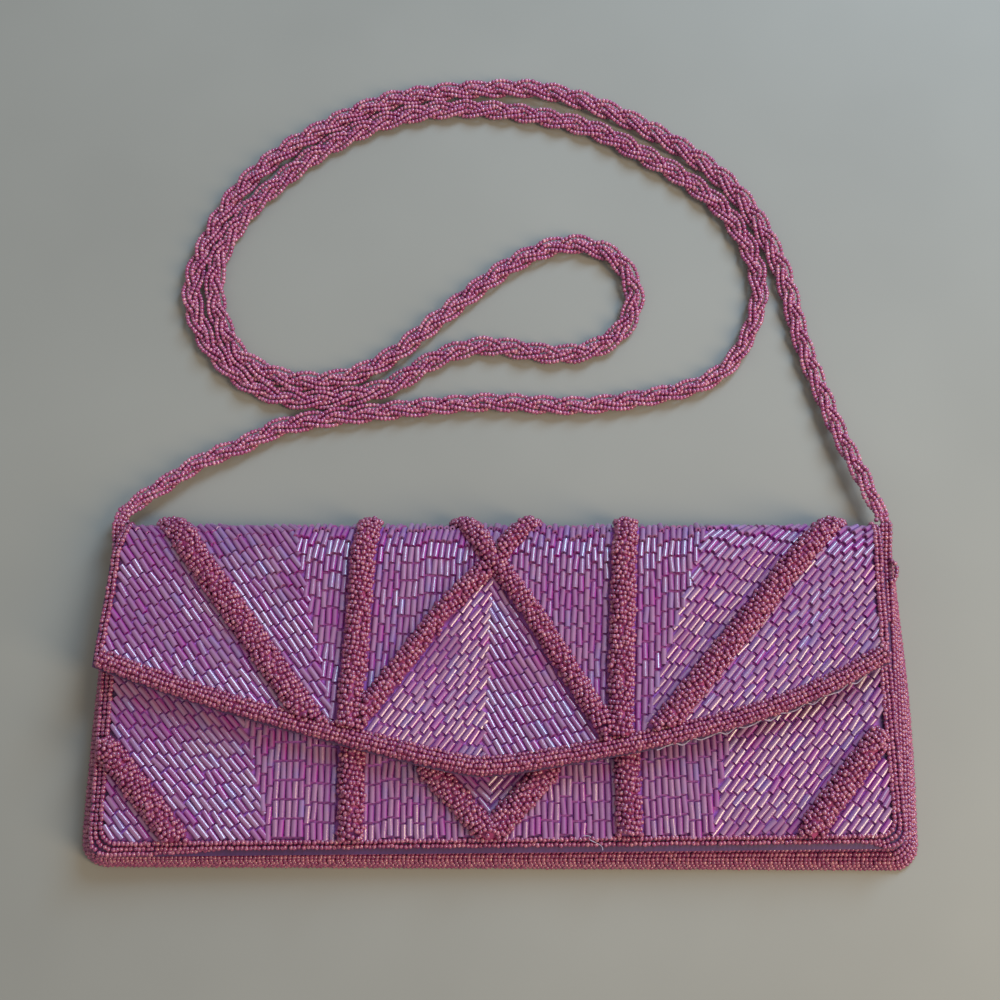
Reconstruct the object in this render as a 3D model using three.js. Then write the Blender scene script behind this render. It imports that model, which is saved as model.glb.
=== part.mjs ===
// A beaded clutch lying on its back, flap up, with its long strap laid out behind it.
// One cloth wrap is the back, the top fold and the flap. A front panel and a narrow gusset close the pocket.
// Padded ridges cross the flap and the front, and the strap is a braid of bead strings.
// Millimetres, +Z up. The origin is the middle of the back, on the surface that it lies on.
// +X runs along the bag's width and +Y from its bottom edge to the fold.
import * as THREE from 'three';
import { mergeVertices } from 'three/addons/utils/BufferGeometryUtils.js';

// Cloth and clearances
const GAP = 0.3;
const WALL = 2.5; // cloth with its layer of bugle beads
const POCKET_DEPTH = 5.6;
const FLAP_CLEARANCE = 0.4;
const FRONT_UNDER = WALL + POCKET_DEPTH;
const FRONT_TOP = FRONT_UNDER + WALL;
const FLAP_UNDER = FRONT_TOP + FLAP_CLEARANCE;
const FLAP_TOP = FLAP_UNDER + WALL;

// Top fold: half an ellipse from the flap down to the back
const FOLD_Y = 37;
const FOLD_REACH = 13.2;
const FOLD_HALF_HEIGHT = FLAP_TOP / 2;
const FOLD_HALF_WIDTH = 114.6;
const FOLD_CENTRE = -0.2;

// Flap: a shallow point between two corners, leaning a little to the left, and standing up near its edge
const FLAP_HALF_WIDTH = 115;
const FLAP_TIP_Y = -25.3;
const FLAP_CORNER_RISE = 33;
const FLAP_STRAIGHT_SHARE = { left: 0.88, right: 0.6 };
const FLAP_TIP_SOFTNESS = 0.06;
const FLAP_CENTRE = -1.6; // at the fold
const FLAP_LEAN = 0.05;
const FLAP_LIFT = 3.2;
const FLAP_LIFT_RUN = 30;
const BORDER_WIDTH = 5.6;
const BORDER_HEIGHT = 1.5;

// Back
const BACK_BOTTOM_Y = -45.8;
const BACK_HALF_WIDTH = 116.6;
const BACK_CENTRE = -0.4;
const CORNER_RADIUS = 5;

// Front panel: turned a little and set a little to the left, with its rim rolled down to the gusset
const FRONT_CENTRE = -1.6;
const FRONT_TURN = THREE.MathUtils.degToRad(0.57);
const FRONT_HALF_WIDTH = 116;
const FRONT_BOTTOM = -46;
const FRONT_TOP_EDGE = 36;
const FRONT_RIM_DROP = 0.9;
const FRONT_RIM_RUN = 7;
const FRONT_PATTERN_SHIFT = -2.3; // from the panel's middle to the middle of its ridges

// Gusset: from the outline on the floor up to the outline under the front panel's rim
const GUSSET_THICKNESS = 2.4; // measured level
const GUSSET_TOP = FRONT_UNDER - FRONT_RIM_DROP - 0.4;
const GUSSET_BULGE = 1.0;
const GUSSET_END_Y = 50.2;
const GUSSET_END_X = 117.8;
const GUSSET_END_LOW = 2.2;
const GUSSET_END_HIGH = 9.2;
const GUSSET_GATHER_Y = 39; // from here to its ends the band gathers into the strap
const GUSSET_FOOT = {
  left: -122, right: 120.8, bottomLeft: -50.3, bottomRight: -51.7, radius: 8, bowLeft: 1.2, bowRight: 2.2,
};
const GUSSET_HEAD = {
  left: -116.4, right: 113.2, bottomLeft: -45.9, bottomRight: -43.7, radius: 4, bowLeft: 0.3, bowRight: 0.6,
};

// Ridges
const RIDGE_WIDTH = 7.8;
const RIDGE_HEIGHT = 2.8;
const RIDGE_SEAT = 0.4; // clearance under a ridge
const RIDGE_ROUNDING = 2.6; // length over which an end rounds off
const RIDGE_PAST_FOLD = 2; // how far the flap's ridges go round the fold
const RIDGE_FOLD_SHARE = 0.68; // of its full height, where a ridge ends on the fold
const CROSS_WIDTH = 6.6;
const RIDGE_HIDDEN = 4; // how far the front's ridges go under the flap
const CROSS_FOOT_SHARE = 0.78; // of its full width, where a crossing ridge meets an upright
// Middle lines of the flap's ridges: run along the wrap, u from the pattern's middle
const FLAP_PATTERN_SHIFT = -1.1; // from the flap's middle line to the middle of its ridges
const SLANT_SHIFT = 1.35; // of the slanting pair, to the right
const SLANT_LINE = [{ run: 49, u: 97.95 }, { run: -10, u: 50.35 }];
const UPRIGHT_LINE = [{ run: 49, u: 38.7 }, { run: -10, u: 38.7 }];
const CROSSING_RUN = 37.7;
const OVER_LINE = [
  { run: 62, u: -18 }, { run: CROSSING_RUN, u: 0.2 }, { run: 22.5, u: 11.9 }, { run: -16, u: 37.6 },
];
const UNDER_LINE = [
  { run: 62, u: -17 }, { run: CROSSING_RUN, u: -0.2 }, { run: 22.5, u: 13.9 }, { run: -16, u: 41 },
];
const FRONT_UPRIGHT = 39.3;
const FRONT_UPRIGHT_FOOT = -43;
const CORNER_RIDGE = { outerX: 110.05, outerY: -16.5, innerX: 88.05, innerY: -42.5, shift: 0.75 };
const CHEVRON = { apexY: -40, slope: 0.92, blunt: 4.4, straightFrom: 7 };

// Hidden snap under the flap's tip
const SNAP_RADIUS = 4.5;
const SNAP_HEIGHT = 1.3;
const SNAP_Y = -14;

// Strap: a flattened braid; its route is laid by hand, x, y and the height of its middle
const STRAP_WIDTH = 5.4;
const STRAP_HEIGHT = 4.6;
const STRAP_SIDES = 10;
const STRAP_STEPS = { left: 46, right: 38 };
const LAID = STRAP_HEIGHT / 2;
const STRAP_LEFT = [
  [-116.2, 50.6, 5.7], [-115.9, 53.4, 5.7], [-111.6, 57.6, 5.5], [-103.1, 64, 4.9], [-93.6, 70.4, 4],
  [-80.5, 75.9, 3], [-69.7, 81.5, LAID], [-49.9, 85.2, LAID], [-7, 90.9, LAID], [22.7, 89.9, LAID],
  [39.5, 91.5, LAID], [64, 97.6, LAID], [73.2, 104.4, LAID], [79.9, 115.6, LAID], [83.4, 127.2, LAID],
  [83.1, 136.6, LAID], [80.3, 146.2, LAID], [73.1, 158.7, LAID], [60.6, 170.3, LAID], [46.9, 179.3, LAID],
  [29.1, 189.2, LAID], [-10, 196.5, LAID], [-37.9, 192.4, LAID], [-60.3, 180.8, LAID], [-74.1, 168.9, LAID],
  [-84.2, 158, LAID], [-92.4, 142, LAID], [-93.6, 129.3, LAID], [-90.4, 117.5, LAID], [-84.1, 106.8, LAID],
  [-72.5, 100.1, LAID], [-60.4, 98, LAID], [-46.6, 100.5, LAID], [-35.2, 106.8, LAID], [-21.4, 118.7, LAID],
  [6, 140.4, LAID], [22.6, 146.1, LAID], [36.2, 141.9, LAID], [41.5, 134.5, LAID], [42.4, 131, LAID],
];
const STRAP_RIGHT = [
  [42.4, 130.6, LAID], [42.9, 126.5, LAID], [39.9, 117.6, LAID], [33.7, 111.5, LAID], [25.8, 108.1, LAID],
  [16.9, 107.3, LAID], [-6.8, 110.1, LAID], [-21.1, 105.7, LAID], [-35.5, 96.6, LAID], [-51.3, 92.6, LAID],
  [-64.6, 91.9, LAID], [-78.7, 96.2, LAID], [-89, 104.4, LAID], [-96.5, 114.7, LAID], [-100.9, 129.3, LAID],
  [-97.6, 144.6, LAID], [-88.8, 163.6, LAID], [-77.2, 177, LAID], [-62.8, 187.6, LAID], [-41.5, 198.6, LAID],
  [-30.6, 201.4, LAID], [-7.5, 204.1, LAID], [15.2, 203.4, LAID], [42.6, 192.6, LAID], [68.3, 175.1, LAID],
  [80.9, 160.6, LAID], [90.8, 138.2, LAID], [96.3, 111.8, LAID], [101.5, 93.3, 3], [105.6, 80.2, 3.9],
  [110.5, 67.7, 4.9], [114.4, 57, 5.6], [116, 53.6, 5.7], [116.2, 50.6, 5.7],
];

const finish = (color, roughness) => new THREE.MeshStandardMaterial({ color, roughness, metalness: 0 });
const BUGLE_BEADS = finish(0x9a5aa8, 0.25);
const SEED_BEADS = finish(0xa23a68, 0.35);
const STRAP_BEADS = finish(0xb8487f, 0.35);
const SNAP_METAL = new THREE.MeshStandardMaterial({ color: 0xb8b4ae, roughness: 0.35, metalness: 1 });

const { lerp, smoothstep } = THREE.MathUtils;

// Closed meshes

// A closed geometry from points and triangles, turned so that its faces point out.
function closedGeometry(points, faces) {
  let volume = 0;
  for (let f = 0; f < faces.length; f += 3) {
    const [a, b, c] = [points[faces[f]], points[faces[f + 1]], points[faces[f + 2]]];
    volume += a.dot(b.clone().cross(c));
  }
  const geometry = new THREE.BufferGeometry().setFromPoints(points);
  geometry.setIndex(volume > 0 ? faces : [...faces].reverse());
  geometry.computeVertexNormals();
  return geometry;
}

// A sheet with thickness: a grid of outer points, the same grid of inner points, and the rim between them.
function sheetGeometry(columns, rows, place) {
  const points = [];
  const faces = [];
  const at = (side, i, j) => (side * rows + j) * columns + i;
  const quad = (a, b, c, d) => faces.push(a, b, c, a, c, d);
  for (const inner of [0, 1]) {
    for (let j = 0; j < rows; j++) {
      for (let i = 0; i < columns; i++) points.push(place(i, j, inner === 1));
    }
  }
  for (let j = 0; j + 1 < rows; j++) {
    for (let i = 0; i + 1 < columns; i++) {
      quad(at(0, i, j), at(0, i + 1, j), at(0, i + 1, j + 1), at(0, i, j + 1));
      quad(at(1, i, j), at(1, i, j + 1), at(1, i + 1, j + 1), at(1, i + 1, j));
    }
  }
  const [right, far] = [columns - 1, rows - 1];
  for (let i = 0; i < right; i++) {
    quad(at(0, i + 1, 0), at(0, i, 0), at(1, i, 0), at(1, i + 1, 0));
    quad(at(0, i, far), at(0, i + 1, far), at(1, i + 1, far), at(1, i, far));
  }
  for (let j = 0; j < far; j++) {
    quad(at(0, 0, j), at(0, 0, j + 1), at(1, 0, j + 1), at(1, 0, j));
    quad(at(0, right, j + 1), at(0, right, j), at(1, right, j), at(1, right, j + 1));
  }
  return closedGeometry(points, faces);
}

// A roll through a row of closed loops, with a flat face at each end.
function rollGeometry(loops) {
  const points = loops.flat();
  const faces = [];
  const sides = loops[0].length;
  for (let s = 0; s + 1 < loops.length; s++) {
    for (let k = 0; k < sides; k++) {
      const next = (k + 1) % sides;
      const [a, b, c, d] = [s * sides + k, s * sides + next, (s + 1) * sides + next, (s + 1) * sides + k];
      faces.push(a, b, c, a, c, d);
    }
  }
  const last = (loops.length - 1) * sides;
  for (let k = 1; k + 1 < sides; k++) faces.push(0, k + 1, k, last, last + k, last + k + 1);
  return closedGeometry(points, faces);
}

// The wrap's surface, by the distance along it: the flap's y, then round the fold, then back along the floor

const FOLD_ROWS = 15;
const SAMPLES_A_ROW = 4;
const FOLD_SAMPLES = FOLD_ROWS * SAMPLES_A_ROW;
const foldArc = [0];
for (let i = 1; i <= FOLD_SAMPLES; i++) {
  const middle = (Math.PI * (i - 0.5)) / FOLD_SAMPLES;
  const speed = Math.hypot(FOLD_REACH * Math.cos(middle), FOLD_HALF_HEIGHT * Math.sin(middle));
  foldArc.push(foldArc[i - 1] + (speed * Math.PI) / FOLD_SAMPLES);
}
const FOLD_LENGTH = foldArc[FOLD_SAMPLES];
const FOLD_END = FOLD_Y + FOLD_LENGTH;
const WRAP_END = FOLD_END + FOLD_Y - BACK_BOTTOM_Y;
const foldRow = (row) => FOLD_Y + foldArc[row * SAMPLES_A_ROW];

function foldAngle(arc) {
  const i = Math.min(foldArc.findIndex((length) => length >= arc) || 1, FOLD_SAMPLES);
  const part = (arc - foldArc[i - 1]) / (foldArc[i] - foldArc[i - 1]);
  return (Math.PI * (i - 1 + part)) / FOLD_SAMPLES;
}

// The flap's edge: sides that run to a soft point, the left one nearly straight, the right one curving up.
function flapEdge(u) {
  const t = Math.min(Math.abs(u - FLAP_PATTERN_SHIFT) / FLAP_HALF_WIDTH, 1);
  const soft = Math.hypot(t, FLAP_TIP_SOFTNESS) - FLAP_TIP_SOFTNESS;
  const share = u < FLAP_PATTERN_SHIFT ? FLAP_STRAIGHT_SHARE.left : FLAP_STRAIGHT_SHARE.right;
  const rise = share * soft + (1 - share) * t ** 4;
  return FLAP_TIP_Y + FLAP_CORNER_RISE * rise;
}

function wrapCentre(run) {
  if (run <= FOLD_Y) return FLAP_CENTRE - FLAP_LEAN * (FOLD_Y - run);
  if (run <= FOLD_END) return lerp(FLAP_CENTRE, FOLD_CENTRE, smoothstep(run, FOLD_Y, foldRow(6)));
  return lerp(FOLD_CENTRE, BACK_CENTRE, (run - FOLD_END) / (WRAP_END - FOLD_END));
}

function wrapHalfWidth(run) {
  if (run <= FOLD_Y) return FLAP_HALF_WIDTH;
  if (run <= FOLD_END) return lerp(FLAP_HALF_WIDTH, FOLD_HALF_WIDTH, smoothstep(run, FOLD_Y, foldRow(6)));
  const half = lerp(FOLD_HALF_WIDTH, BACK_HALF_WIDTH, (run - FOLD_END) / (WRAP_END - FOLD_END));
  return half - cornerInset(WRAP_END - run);
}

// How much a rounded corner takes off a row at this distance from the bottom edge.
function cornerInset(distance) {
  if (distance >= CORNER_RADIUS) return 0;
  return CORNER_RADIUS - Math.sqrt(CORNER_RADIUS ** 2 - (CORNER_RADIUS - distance) ** 2);
}

// A point of the wrap, u from its middle line, run along it, and height above its outer face.
function wrapPoint(u, run, height) {
  const x = wrapCentre(run) + u;
  if (run <= FOLD_Y) {
    const lift = FLAP_LIFT * (1 - smoothstep(run - flapEdge(u), 0, FLAP_LIFT_RUN));
    return new THREE.Vector3(x, run, FLAP_TOP + lift + height);
  }
  if (run >= FOLD_END) return new THREE.Vector3(x, FOLD_Y - (run - FOLD_END), -height);
  const angle = foldAngle(run - FOLD_Y);
  const out = new THREE.Vector2(Math.sin(angle) / FOLD_REACH, Math.cos(angle) / FOLD_HALF_HEIGHT).normalize();
  const y = FOLD_Y + FOLD_REACH * Math.sin(angle) + out.x * height;
  return new THREE.Vector3(x, y, FOLD_HALF_HEIGHT * (1 + Math.cos(angle)) + out.y * height);
}

// A point of the front panel, u and v from its middle, and height above its top face.
function frontPoint(u, v, height) {
  const toRim = Math.min(FRONT_HALF_WIDTH - Math.abs(u), v - FRONT_BOTTOM);
  const drop = FRONT_RIM_DROP * (1 - Math.min(toRim / FRONT_RIM_RUN, 1)) ** 2;
  const [cos, sin] = [Math.cos(FRONT_TURN), Math.sin(FRONT_TURN)];
  return new THREE.Vector3(FRONT_CENTRE + u * cos - v * sin, u * sin + v * cos, FRONT_TOP - drop + height);
}

const patternPoint = (u, v, height) => frontPoint(u + FRONT_PATTERN_SHIFT, v, height);

// Cloth pieces

function wrapGeometry() {
  const COLUMNS = 33;
  const FLAP_ROWS = 10;
  const backRows = [0.25, 0.5, 0.75, 0.95, 0.98, 0.994, 1];
  const rows = FLAP_ROWS + FOLD_ROWS + backRows.length;
  return sheetGeometry(COLUMNS, rows, (i, j, inner) => {
    const across = lerp(-1, 1, i / (COLUMNS - 1));
    let run;
    if (j < FLAP_ROWS) run = lerp(flapEdge(across * FLAP_HALF_WIDTH), FOLD_Y, j / (FLAP_ROWS - 1));
    else if (j < FLAP_ROWS + FOLD_ROWS) run = foldRow(j - FLAP_ROWS + 1);
    else run = lerp(FOLD_END, WRAP_END, backRows[j - FLAP_ROWS - FOLD_ROWS]);
    return wrapPoint(across * wrapHalfWidth(run), run, inner ? -WALL : 0);
  });
}

function frontGeometry() {
  const across = [-1, -0.985, -0.96, -0.94, -0.75, -0.5, -0.25, 0, 0.25, 0.5, 0.75, 0.94, 0.96, 0.985, 1];
  const distances = [0, 0.4, 1.4, 3, 5, 7, 25, 50, FRONT_TOP_EDGE - FRONT_BOTTOM];
  return sheetGeometry(across.length, distances.length, (i, j, inner) => {
    const half = FRONT_HALF_WIDTH - cornerInset(distances[j]);
    return frontPoint(across[i] * half, FRONT_BOTTOM + distances[j], inner ? -WALL : 0);
  });
}

// Left side, bottom and right side of an outline that is open at the fold, its sides bowed out.
function outlinePoints({ left, right, bottomLeft, bottomRight, radius, bowLeft, bowRight }) {
  const SIDE_STEPS = 10;
  const ARC_STEPS = 4;
  const BOTTOM_STEPS = 10;
  const points = [];
  for (let i = 0; i < SIDE_STEPS; i++) {
    const t = i / SIDE_STEPS;
    const x = lerp(-GUSSET_END_X, left, t) - bowLeft * Math.sin(Math.PI * t);
    points.push(new THREE.Vector2(x, lerp(GUSSET_END_Y, bottomLeft + radius, t)));
  }
  const arc = (x, y, from) => {
    for (let i = 0; i <= ARC_STEPS; i++) {
      const angle = from + (Math.PI / 2) * (i / ARC_STEPS);
      points.push(new THREE.Vector2(x + radius * Math.cos(angle), y + radius * Math.sin(angle)));
    }
  };
  arc(left + radius, bottomLeft + radius, Math.PI);
  for (let i = 1; i < BOTTOM_STEPS; i++) {
    const t = i / BOTTOM_STEPS;
    points.push(new THREE.Vector2(lerp(left + radius, right - radius, t), lerp(bottomLeft, bottomRight, t)));
  }
  arc(right - radius, bottomRight + radius, 1.5 * Math.PI);
  for (let i = 1; i <= SIDE_STEPS; i++) {
    const t = i / SIDE_STEPS;
    const x = lerp(right, GUSSET_END_X, t) + bowRight * Math.sin(Math.PI * t);
    points.push(new THREE.Vector2(x, lerp(bottomRight + radius, GUSSET_END_Y, t)));
  }
  return points;
}

function gussetGeometry() {
  const ROWS = 6;
  const foot = outlinePoints(GUSSET_FOOT);
  const head = outlinePoints(GUSSET_HEAD);
  return sheetGeometry(foot.length, ROWS, (i, j, inner) => {
    const t = j / (ROWS - 1);
    const along = foot[Math.min(i + 1, foot.length - 1)].clone().sub(foot[Math.max(i - 1, 0)]).normalize();
    const out = new THREE.Vector2(along.y, -along.x);
    const gather = smoothstep(foot[i].y, GUSSET_GATHER_Y, GUSSET_END_Y);
    const outward = GUSSET_BULGE * Math.sin(Math.PI * t) * (1 - gather) - (inner ? GUSSET_THICKNESS : 0);
    const place = foot[i].clone().lerp(head[i], t).addScaledVector(out, outward);
    const low = GUSSET_END_LOW * gather;
    const high = lerp(GUSSET_TOP, GUSSET_END_HIGH, gather);
    return new THREE.Vector3(place.x, place.y, lerp(low, high, t));
  });
}

// Raised rolls

// One half-round loop across a roll; place maps pattern points and a height to space.
function rollLoop(place, middle, across, width, height, seat = GAP) {
  const SEGMENTS = 7;
  const loop = [];
  for (let k = 0; k <= SEGMENTS; k++) {
    const angle = (Math.PI * k) / SEGMENTS;
    const side = (Math.cos(angle) * width) / 2;
    loop.push(place(middle.x + across.x * side, middle.y + across.y * side, seat + height * Math.sin(angle)));
  }
  return loop;
}

// Share of a ridge's full size at this distance from a rounded end.
const endSize = (distance) => 0.3 + 0.7 * Math.sqrt(1 - (1 - Math.min(distance / RIDGE_ROUNDING, 1)) ** 2);
const END_STATIONS = [0, 0.12, 0.4, 1].map((part) => part * RIDGE_ROUNDING);

function ridgeLoop(place, middle, across, size, width = RIDGE_WIDTH, heightShare = 1) {
  return rollLoop(place, middle, across, width * size, RIDGE_HEIGHT * size * heightShare, RIDGE_SEAT);
}

// A straight padded ridge of the front, from one pattern point to another, rounded off at both ends.
function frontRidge(from, to) {
  const STEP = 6;
  const length = from.distanceTo(to);
  const along = to.clone().sub(from).normalize();
  const across = new THREE.Vector2(-along.y, along.x);
  const steps = Math.round((length - 2 * RIDGE_ROUNDING) / STEP);
  const stations = [...END_STATIONS];
  for (let s = 1; s < steps; s++) stations.push(lerp(RIDGE_ROUNDING, length - RIDGE_ROUNDING, s / steps));
  stations.push(...END_STATIONS.map((distance) => length - distance).reverse());
  return rollGeometry(stations.map((station) => {
    const middle = from.clone().addScaledVector(along, station);
    return ridgeLoop(patternPoint, middle, across, endSize(Math.min(station, length - station)));
  }));
}

// A line of the flap's pattern, or its mirror: the point of it at a given run.
const flapLine = (table, side, shift = 0) => (run) => {
  const found = table.findIndex((point) => point.run <= run);
  const k = found < 0 ? table.length - 1 : Math.max(found, 1);
  const [above, below] = [table[k - 1], table[k]];
  const t = (above.run - run) / (above.run - below.run);
  return new THREE.Vector2(FLAP_PATTERN_SHIFT + shift + side * lerp(above.u, below.u, t), run);
};

const RIDGE_TOP_RUN = FOLD_Y + FOLD_LENGTH / 2 + RIDGE_PAST_FOLD;

// The lowest run of a line that still meets a test, searched from the fold down.
function lowestRun(line, test) {
  const STEP = 0.05;
  let run = FOLD_Y;
  while (test(line(run - STEP))) run -= STEP;
  return run;
}

const clearOfBorder = (point) => point.y > flapEdge(point.x) + BORDER_WIDTH + 4 * GAP;

// A padded ridge of the flap, with level sections so that it follows the fold.
// A cut is the direction of the ridge that this one ends against; an end without one is rounded off.
function flapRidge(line, ends = {}) {
  const { high = RIDGE_TOP_RUN, low = lowestRun(line, clearOfBorder), cutHigh, cutLow } = ends;
  const { width = RIDGE_WIDTH, footShare = 1 } = ends;
  const STEP = 6;
  const cutRun = Math.min(22, 0.5 * (high - low));
  const top = cutHigh ? [high] : END_STATIONS.map((distance) => high - distance);
  const foot = cutLow ? [low] : END_STATIONS.map((distance) => low + distance).reverse();
  const between = [];
  for (let row = FOLD_ROWS; row > 0; row--) between.push(foldRow(row));
  const steps = Math.round((FOLD_Y - low) / STEP);
  for (let s = 0; s < steps; s++) between.push(lerp(FOLD_Y, low, s / steps));
  const room = 0.8;
  const runs = between.filter((run) => run < top[top.length - 1] - room && run > foot[0] + room);
  return rollGeometry([...top, ...runs, ...foot].map((run) => {
    const along = line(run - 0.5).sub(line(run + 0.5)).normalize();
    const square = new THREE.Vector2(-along.y, along.x);
    const across = new THREE.Vector2(1, 0).divideScalar(square.x);
    const blend = (cut, share) => across.lerp(cut.clone().divideScalar(cut.dot(square)), share);
    if (cutHigh) blend(cutHigh, 1 - smoothstep(high - run, 0, cutRun));
    if (cutLow) blend(cutLow, 1 - smoothstep(run - low, 0, cutRun));
    const size = Math.min(cutHigh ? 1 : endSize(high - run), cutLow ? 1 : endSize(run - low));
    across.multiplyScalar(lerp(footShare, 1, smoothstep(run - low, 0, cutRun)));
    const heightShare = lerp(1, RIDGE_FOLD_SHARE, smoothstep(run, FOLD_Y, RIDGE_TOP_RUN));
    return ridgeLoop(wrapPoint, line(run), across, size, width, heightShare);
  }));
}

// The crossing pair: one ridge runs through, the other is cut short on both sides of it.
// Both end, a little narrower, against the uprights.
function crossingRidges() {
  const STEP = 0.05;
  const over = flapLine(OVER_LINE, 1);
  const under = flapLine(UNDER_LINE, -1);
  const reach = UPRIGHT_LINE[0].u - RIDGE_WIDTH / 2 - GAP;
  const corner = new THREE.Vector2(0, 0.7 * CROSS_WIDTH); // from the end's middle down to its lower corner
  const inside = (point) => {
    if (Math.abs(point.x - FLAP_PATTERN_SHIFT) >= reach) return false;
    return clearOfBorder(point.clone().sub(corner));
  };
  const foot = (line) => ({
    low: lowestRun(line, inside),
    cutLow: new THREE.Vector2(0, 1),
    footShare: CROSS_FOOT_SHARE,
    width: CROSS_WIDTH,
  });
  const cut = over(CROSSING_RUN - 1).sub(over(CROSSING_RUN + 1)).normalize();
  const apart = (run) => Math.abs(cut.y * (under(run).x - over(run).x));
  const room = CROSS_WIDTH / 2 + GAP;
  let above = CROSSING_RUN;
  while (apart(above) < room) above += STEP;
  let below = CROSSING_RUN;
  while (apart(below) < room) below -= STEP;
  return {
    over: flapRidge(over, foot(over)),
    underTop: flapRidge(under, { low: above, cutLow: cut, width: CROSS_WIDTH }),
    underLeg: flapRidge(under, { high: below, cutHigh: cut, ...foot(under) }),
  };
}

function borderGeometry() {
  const STATIONS = 49;
  const REACH = FLAP_HALF_WIDTH - 0.5;
  const NUDGE = 0.5;
  const loops = [];
  for (let s = 0; s < STATIONS; s++) {
    const u = lerp(-REACH, REACH, s / (STATIONS - 1));
    const slope = (flapEdge(u + NUDGE) - flapEdge(u - NUDGE)) / (2 * NUDGE);
    const inward = new THREE.Vector2(-slope, 1).normalize();
    const middle = new THREE.Vector2(u, flapEdge(u)).addScaledVector(inward, BORDER_WIDTH / 2 + 0.1);
    loops.push(rollLoop(wrapPoint, middle, inward, BORDER_WIDTH, BORDER_HEIGHT));
  }
  return rollGeometry(loops);
}

function frontUpright(side) {
  const u = side * FRONT_UPRIGHT;
  const top = new THREE.Vector2(u, flapEdge(u) + RIDGE_HIDDEN);
  return frontRidge(new THREE.Vector2(u, FRONT_UPRIGHT_FOOT), top);
}

function cornerRidge(side) {
  const { outerX, outerY, innerX, innerY, shift } = CORNER_RIDGE;
  const outer = new THREE.Vector2(side * outerX + shift, outerY);
  return frontRidge(outer, new THREE.Vector2(side * innerX + shift, innerY));
}

// Two arms that meet in a blunt point at the bottom of the front.
function chevronGeometry() {
  const { apexY, slope, blunt, straightFrom } = CHEVRON;
  const apex = new THREE.Vector2(0, apexY);
  const topY = flapEdge(0) + RIDGE_HIDDEN + 2;
  const length = Math.hypot(slope, 1) * (topY - apexY);
  const stations = END_STATIONS.map((distance) => length - distance);
  stations.push((length + straightFrom) / 2, straightFrom);
  const arm = (side) => stations.map((station) => {
    const along = new THREE.Vector2(side * slope, 1).normalize();
    const across = new THREE.Vector2(-side * along.y, side * along.x);
    const middle = apex.clone().addScaledVector(along, station);
    return ridgeLoop(patternPoint, middle, across, endSize(length - station));
  });
  const notch = RIDGE_WIDTH / 2 / Math.sin(Math.atan(slope));
  const middle = apex.clone().add(new THREE.Vector2(0, (notch - blunt) / 2));
  const up = new THREE.Vector2(0, 1);
  const point = rollLoop(patternPoint, middle, up, notch + blunt, RIDGE_HEIGHT, RIDGE_SEAT);
  return rollGeometry([...arm(-1), point, ...arm(1).reverse()]);
}

// Strap: an oval section along the laid route, broad side level
function strapGeometry(route, steps) {
  const points = route.map((point) => new THREE.Vector3(...point));
  const path = new THREE.CatmullRomCurve3(points, false, 'centripetal');
  const frames = path.computeFrenetFrames(steps, false);
  const normalIsUpright = Math.abs(frames.normals[0].z) > Math.abs(frames.binormals[0].z);
  const radii = [STRAP_WIDTH / 2, STRAP_HEIGHT / 2];
  if (normalIsUpright) radii.reverse();
  const section = [];
  for (let k = 0; k < STRAP_SIDES; k++) {
    const angle = (2 * Math.PI * k) / STRAP_SIDES;
    section.push(new THREE.Vector2(radii[0] * Math.cos(angle), radii[1] * Math.sin(angle)));
  }
  const tube = new THREE.ExtrudeGeometry(new THREE.Shape(section), { steps, extrudePath: path });
  tube.deleteAttribute('normal');
  tube.deleteAttribute('uv');
  return mergeVertices(tube, 1e-3);
}

function snapGeometry() {
  const disc = new THREE.CylinderGeometry(SNAP_RADIUS, SNAP_RADIUS, SNAP_HEIGHT, 20).rotateX(Math.PI / 2);
  const seat = patternPoint(0, SNAP_Y, GAP + SNAP_HEIGHT / 2);
  return disc.translate(seat.x, seat.y, seat.z);
}

const clutch = new THREE.Group();
clutch.name = 'beaded_clutch';

function add(name, geometry, material) {
  const mesh = new THREE.Mesh(geometry, material);
  mesh.name = name;
  clutch.add(mesh);
}

add('wrap', wrapGeometry(), BUGLE_BEADS);
add('front_panel', frontGeometry(), BUGLE_BEADS);
add('gusset', gussetGeometry(), SEED_BEADS);
add('flap_border', borderGeometry(), SEED_BEADS);
for (const [word, side] of [['left', -1], ['right', 1]]) {
  add(`flap_ridge_${word}_slant`, flapRidge(flapLine(SLANT_LINE, side, SLANT_SHIFT)), SEED_BEADS);
  add(`flap_ridge_${word}_upright`, flapRidge(flapLine(UPRIGHT_LINE, side)), SEED_BEADS);
  add(`front_ridge_${word}_upright`, frontUpright(side), SEED_BEADS);
  add(`front_ridge_${word}_corner`, cornerRidge(side), SEED_BEADS);
}
const crossing = crossingRidges();
add('flap_ridge_cross_over', crossing.over, SEED_BEADS);
add('flap_ridge_cross_under_top', crossing.underTop, SEED_BEADS);
add('flap_ridge_cross_under_leg', crossing.underLeg, SEED_BEADS);
add('front_ridge_chevron', chevronGeometry(), SEED_BEADS);
add('snap', snapGeometry(), SNAP_METAL);
add('strap_left', strapGeometry(STRAP_LEFT, STRAP_STEPS.left), STRAP_BEADS);
add('strap_right', strapGeometry(STRAP_RIGHT, STRAP_STEPS.right), STRAP_BEADS);

export default clutch;
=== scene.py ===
import math

import bpy
import numpy as np
from mathutils import Matrix, Vector


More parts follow.
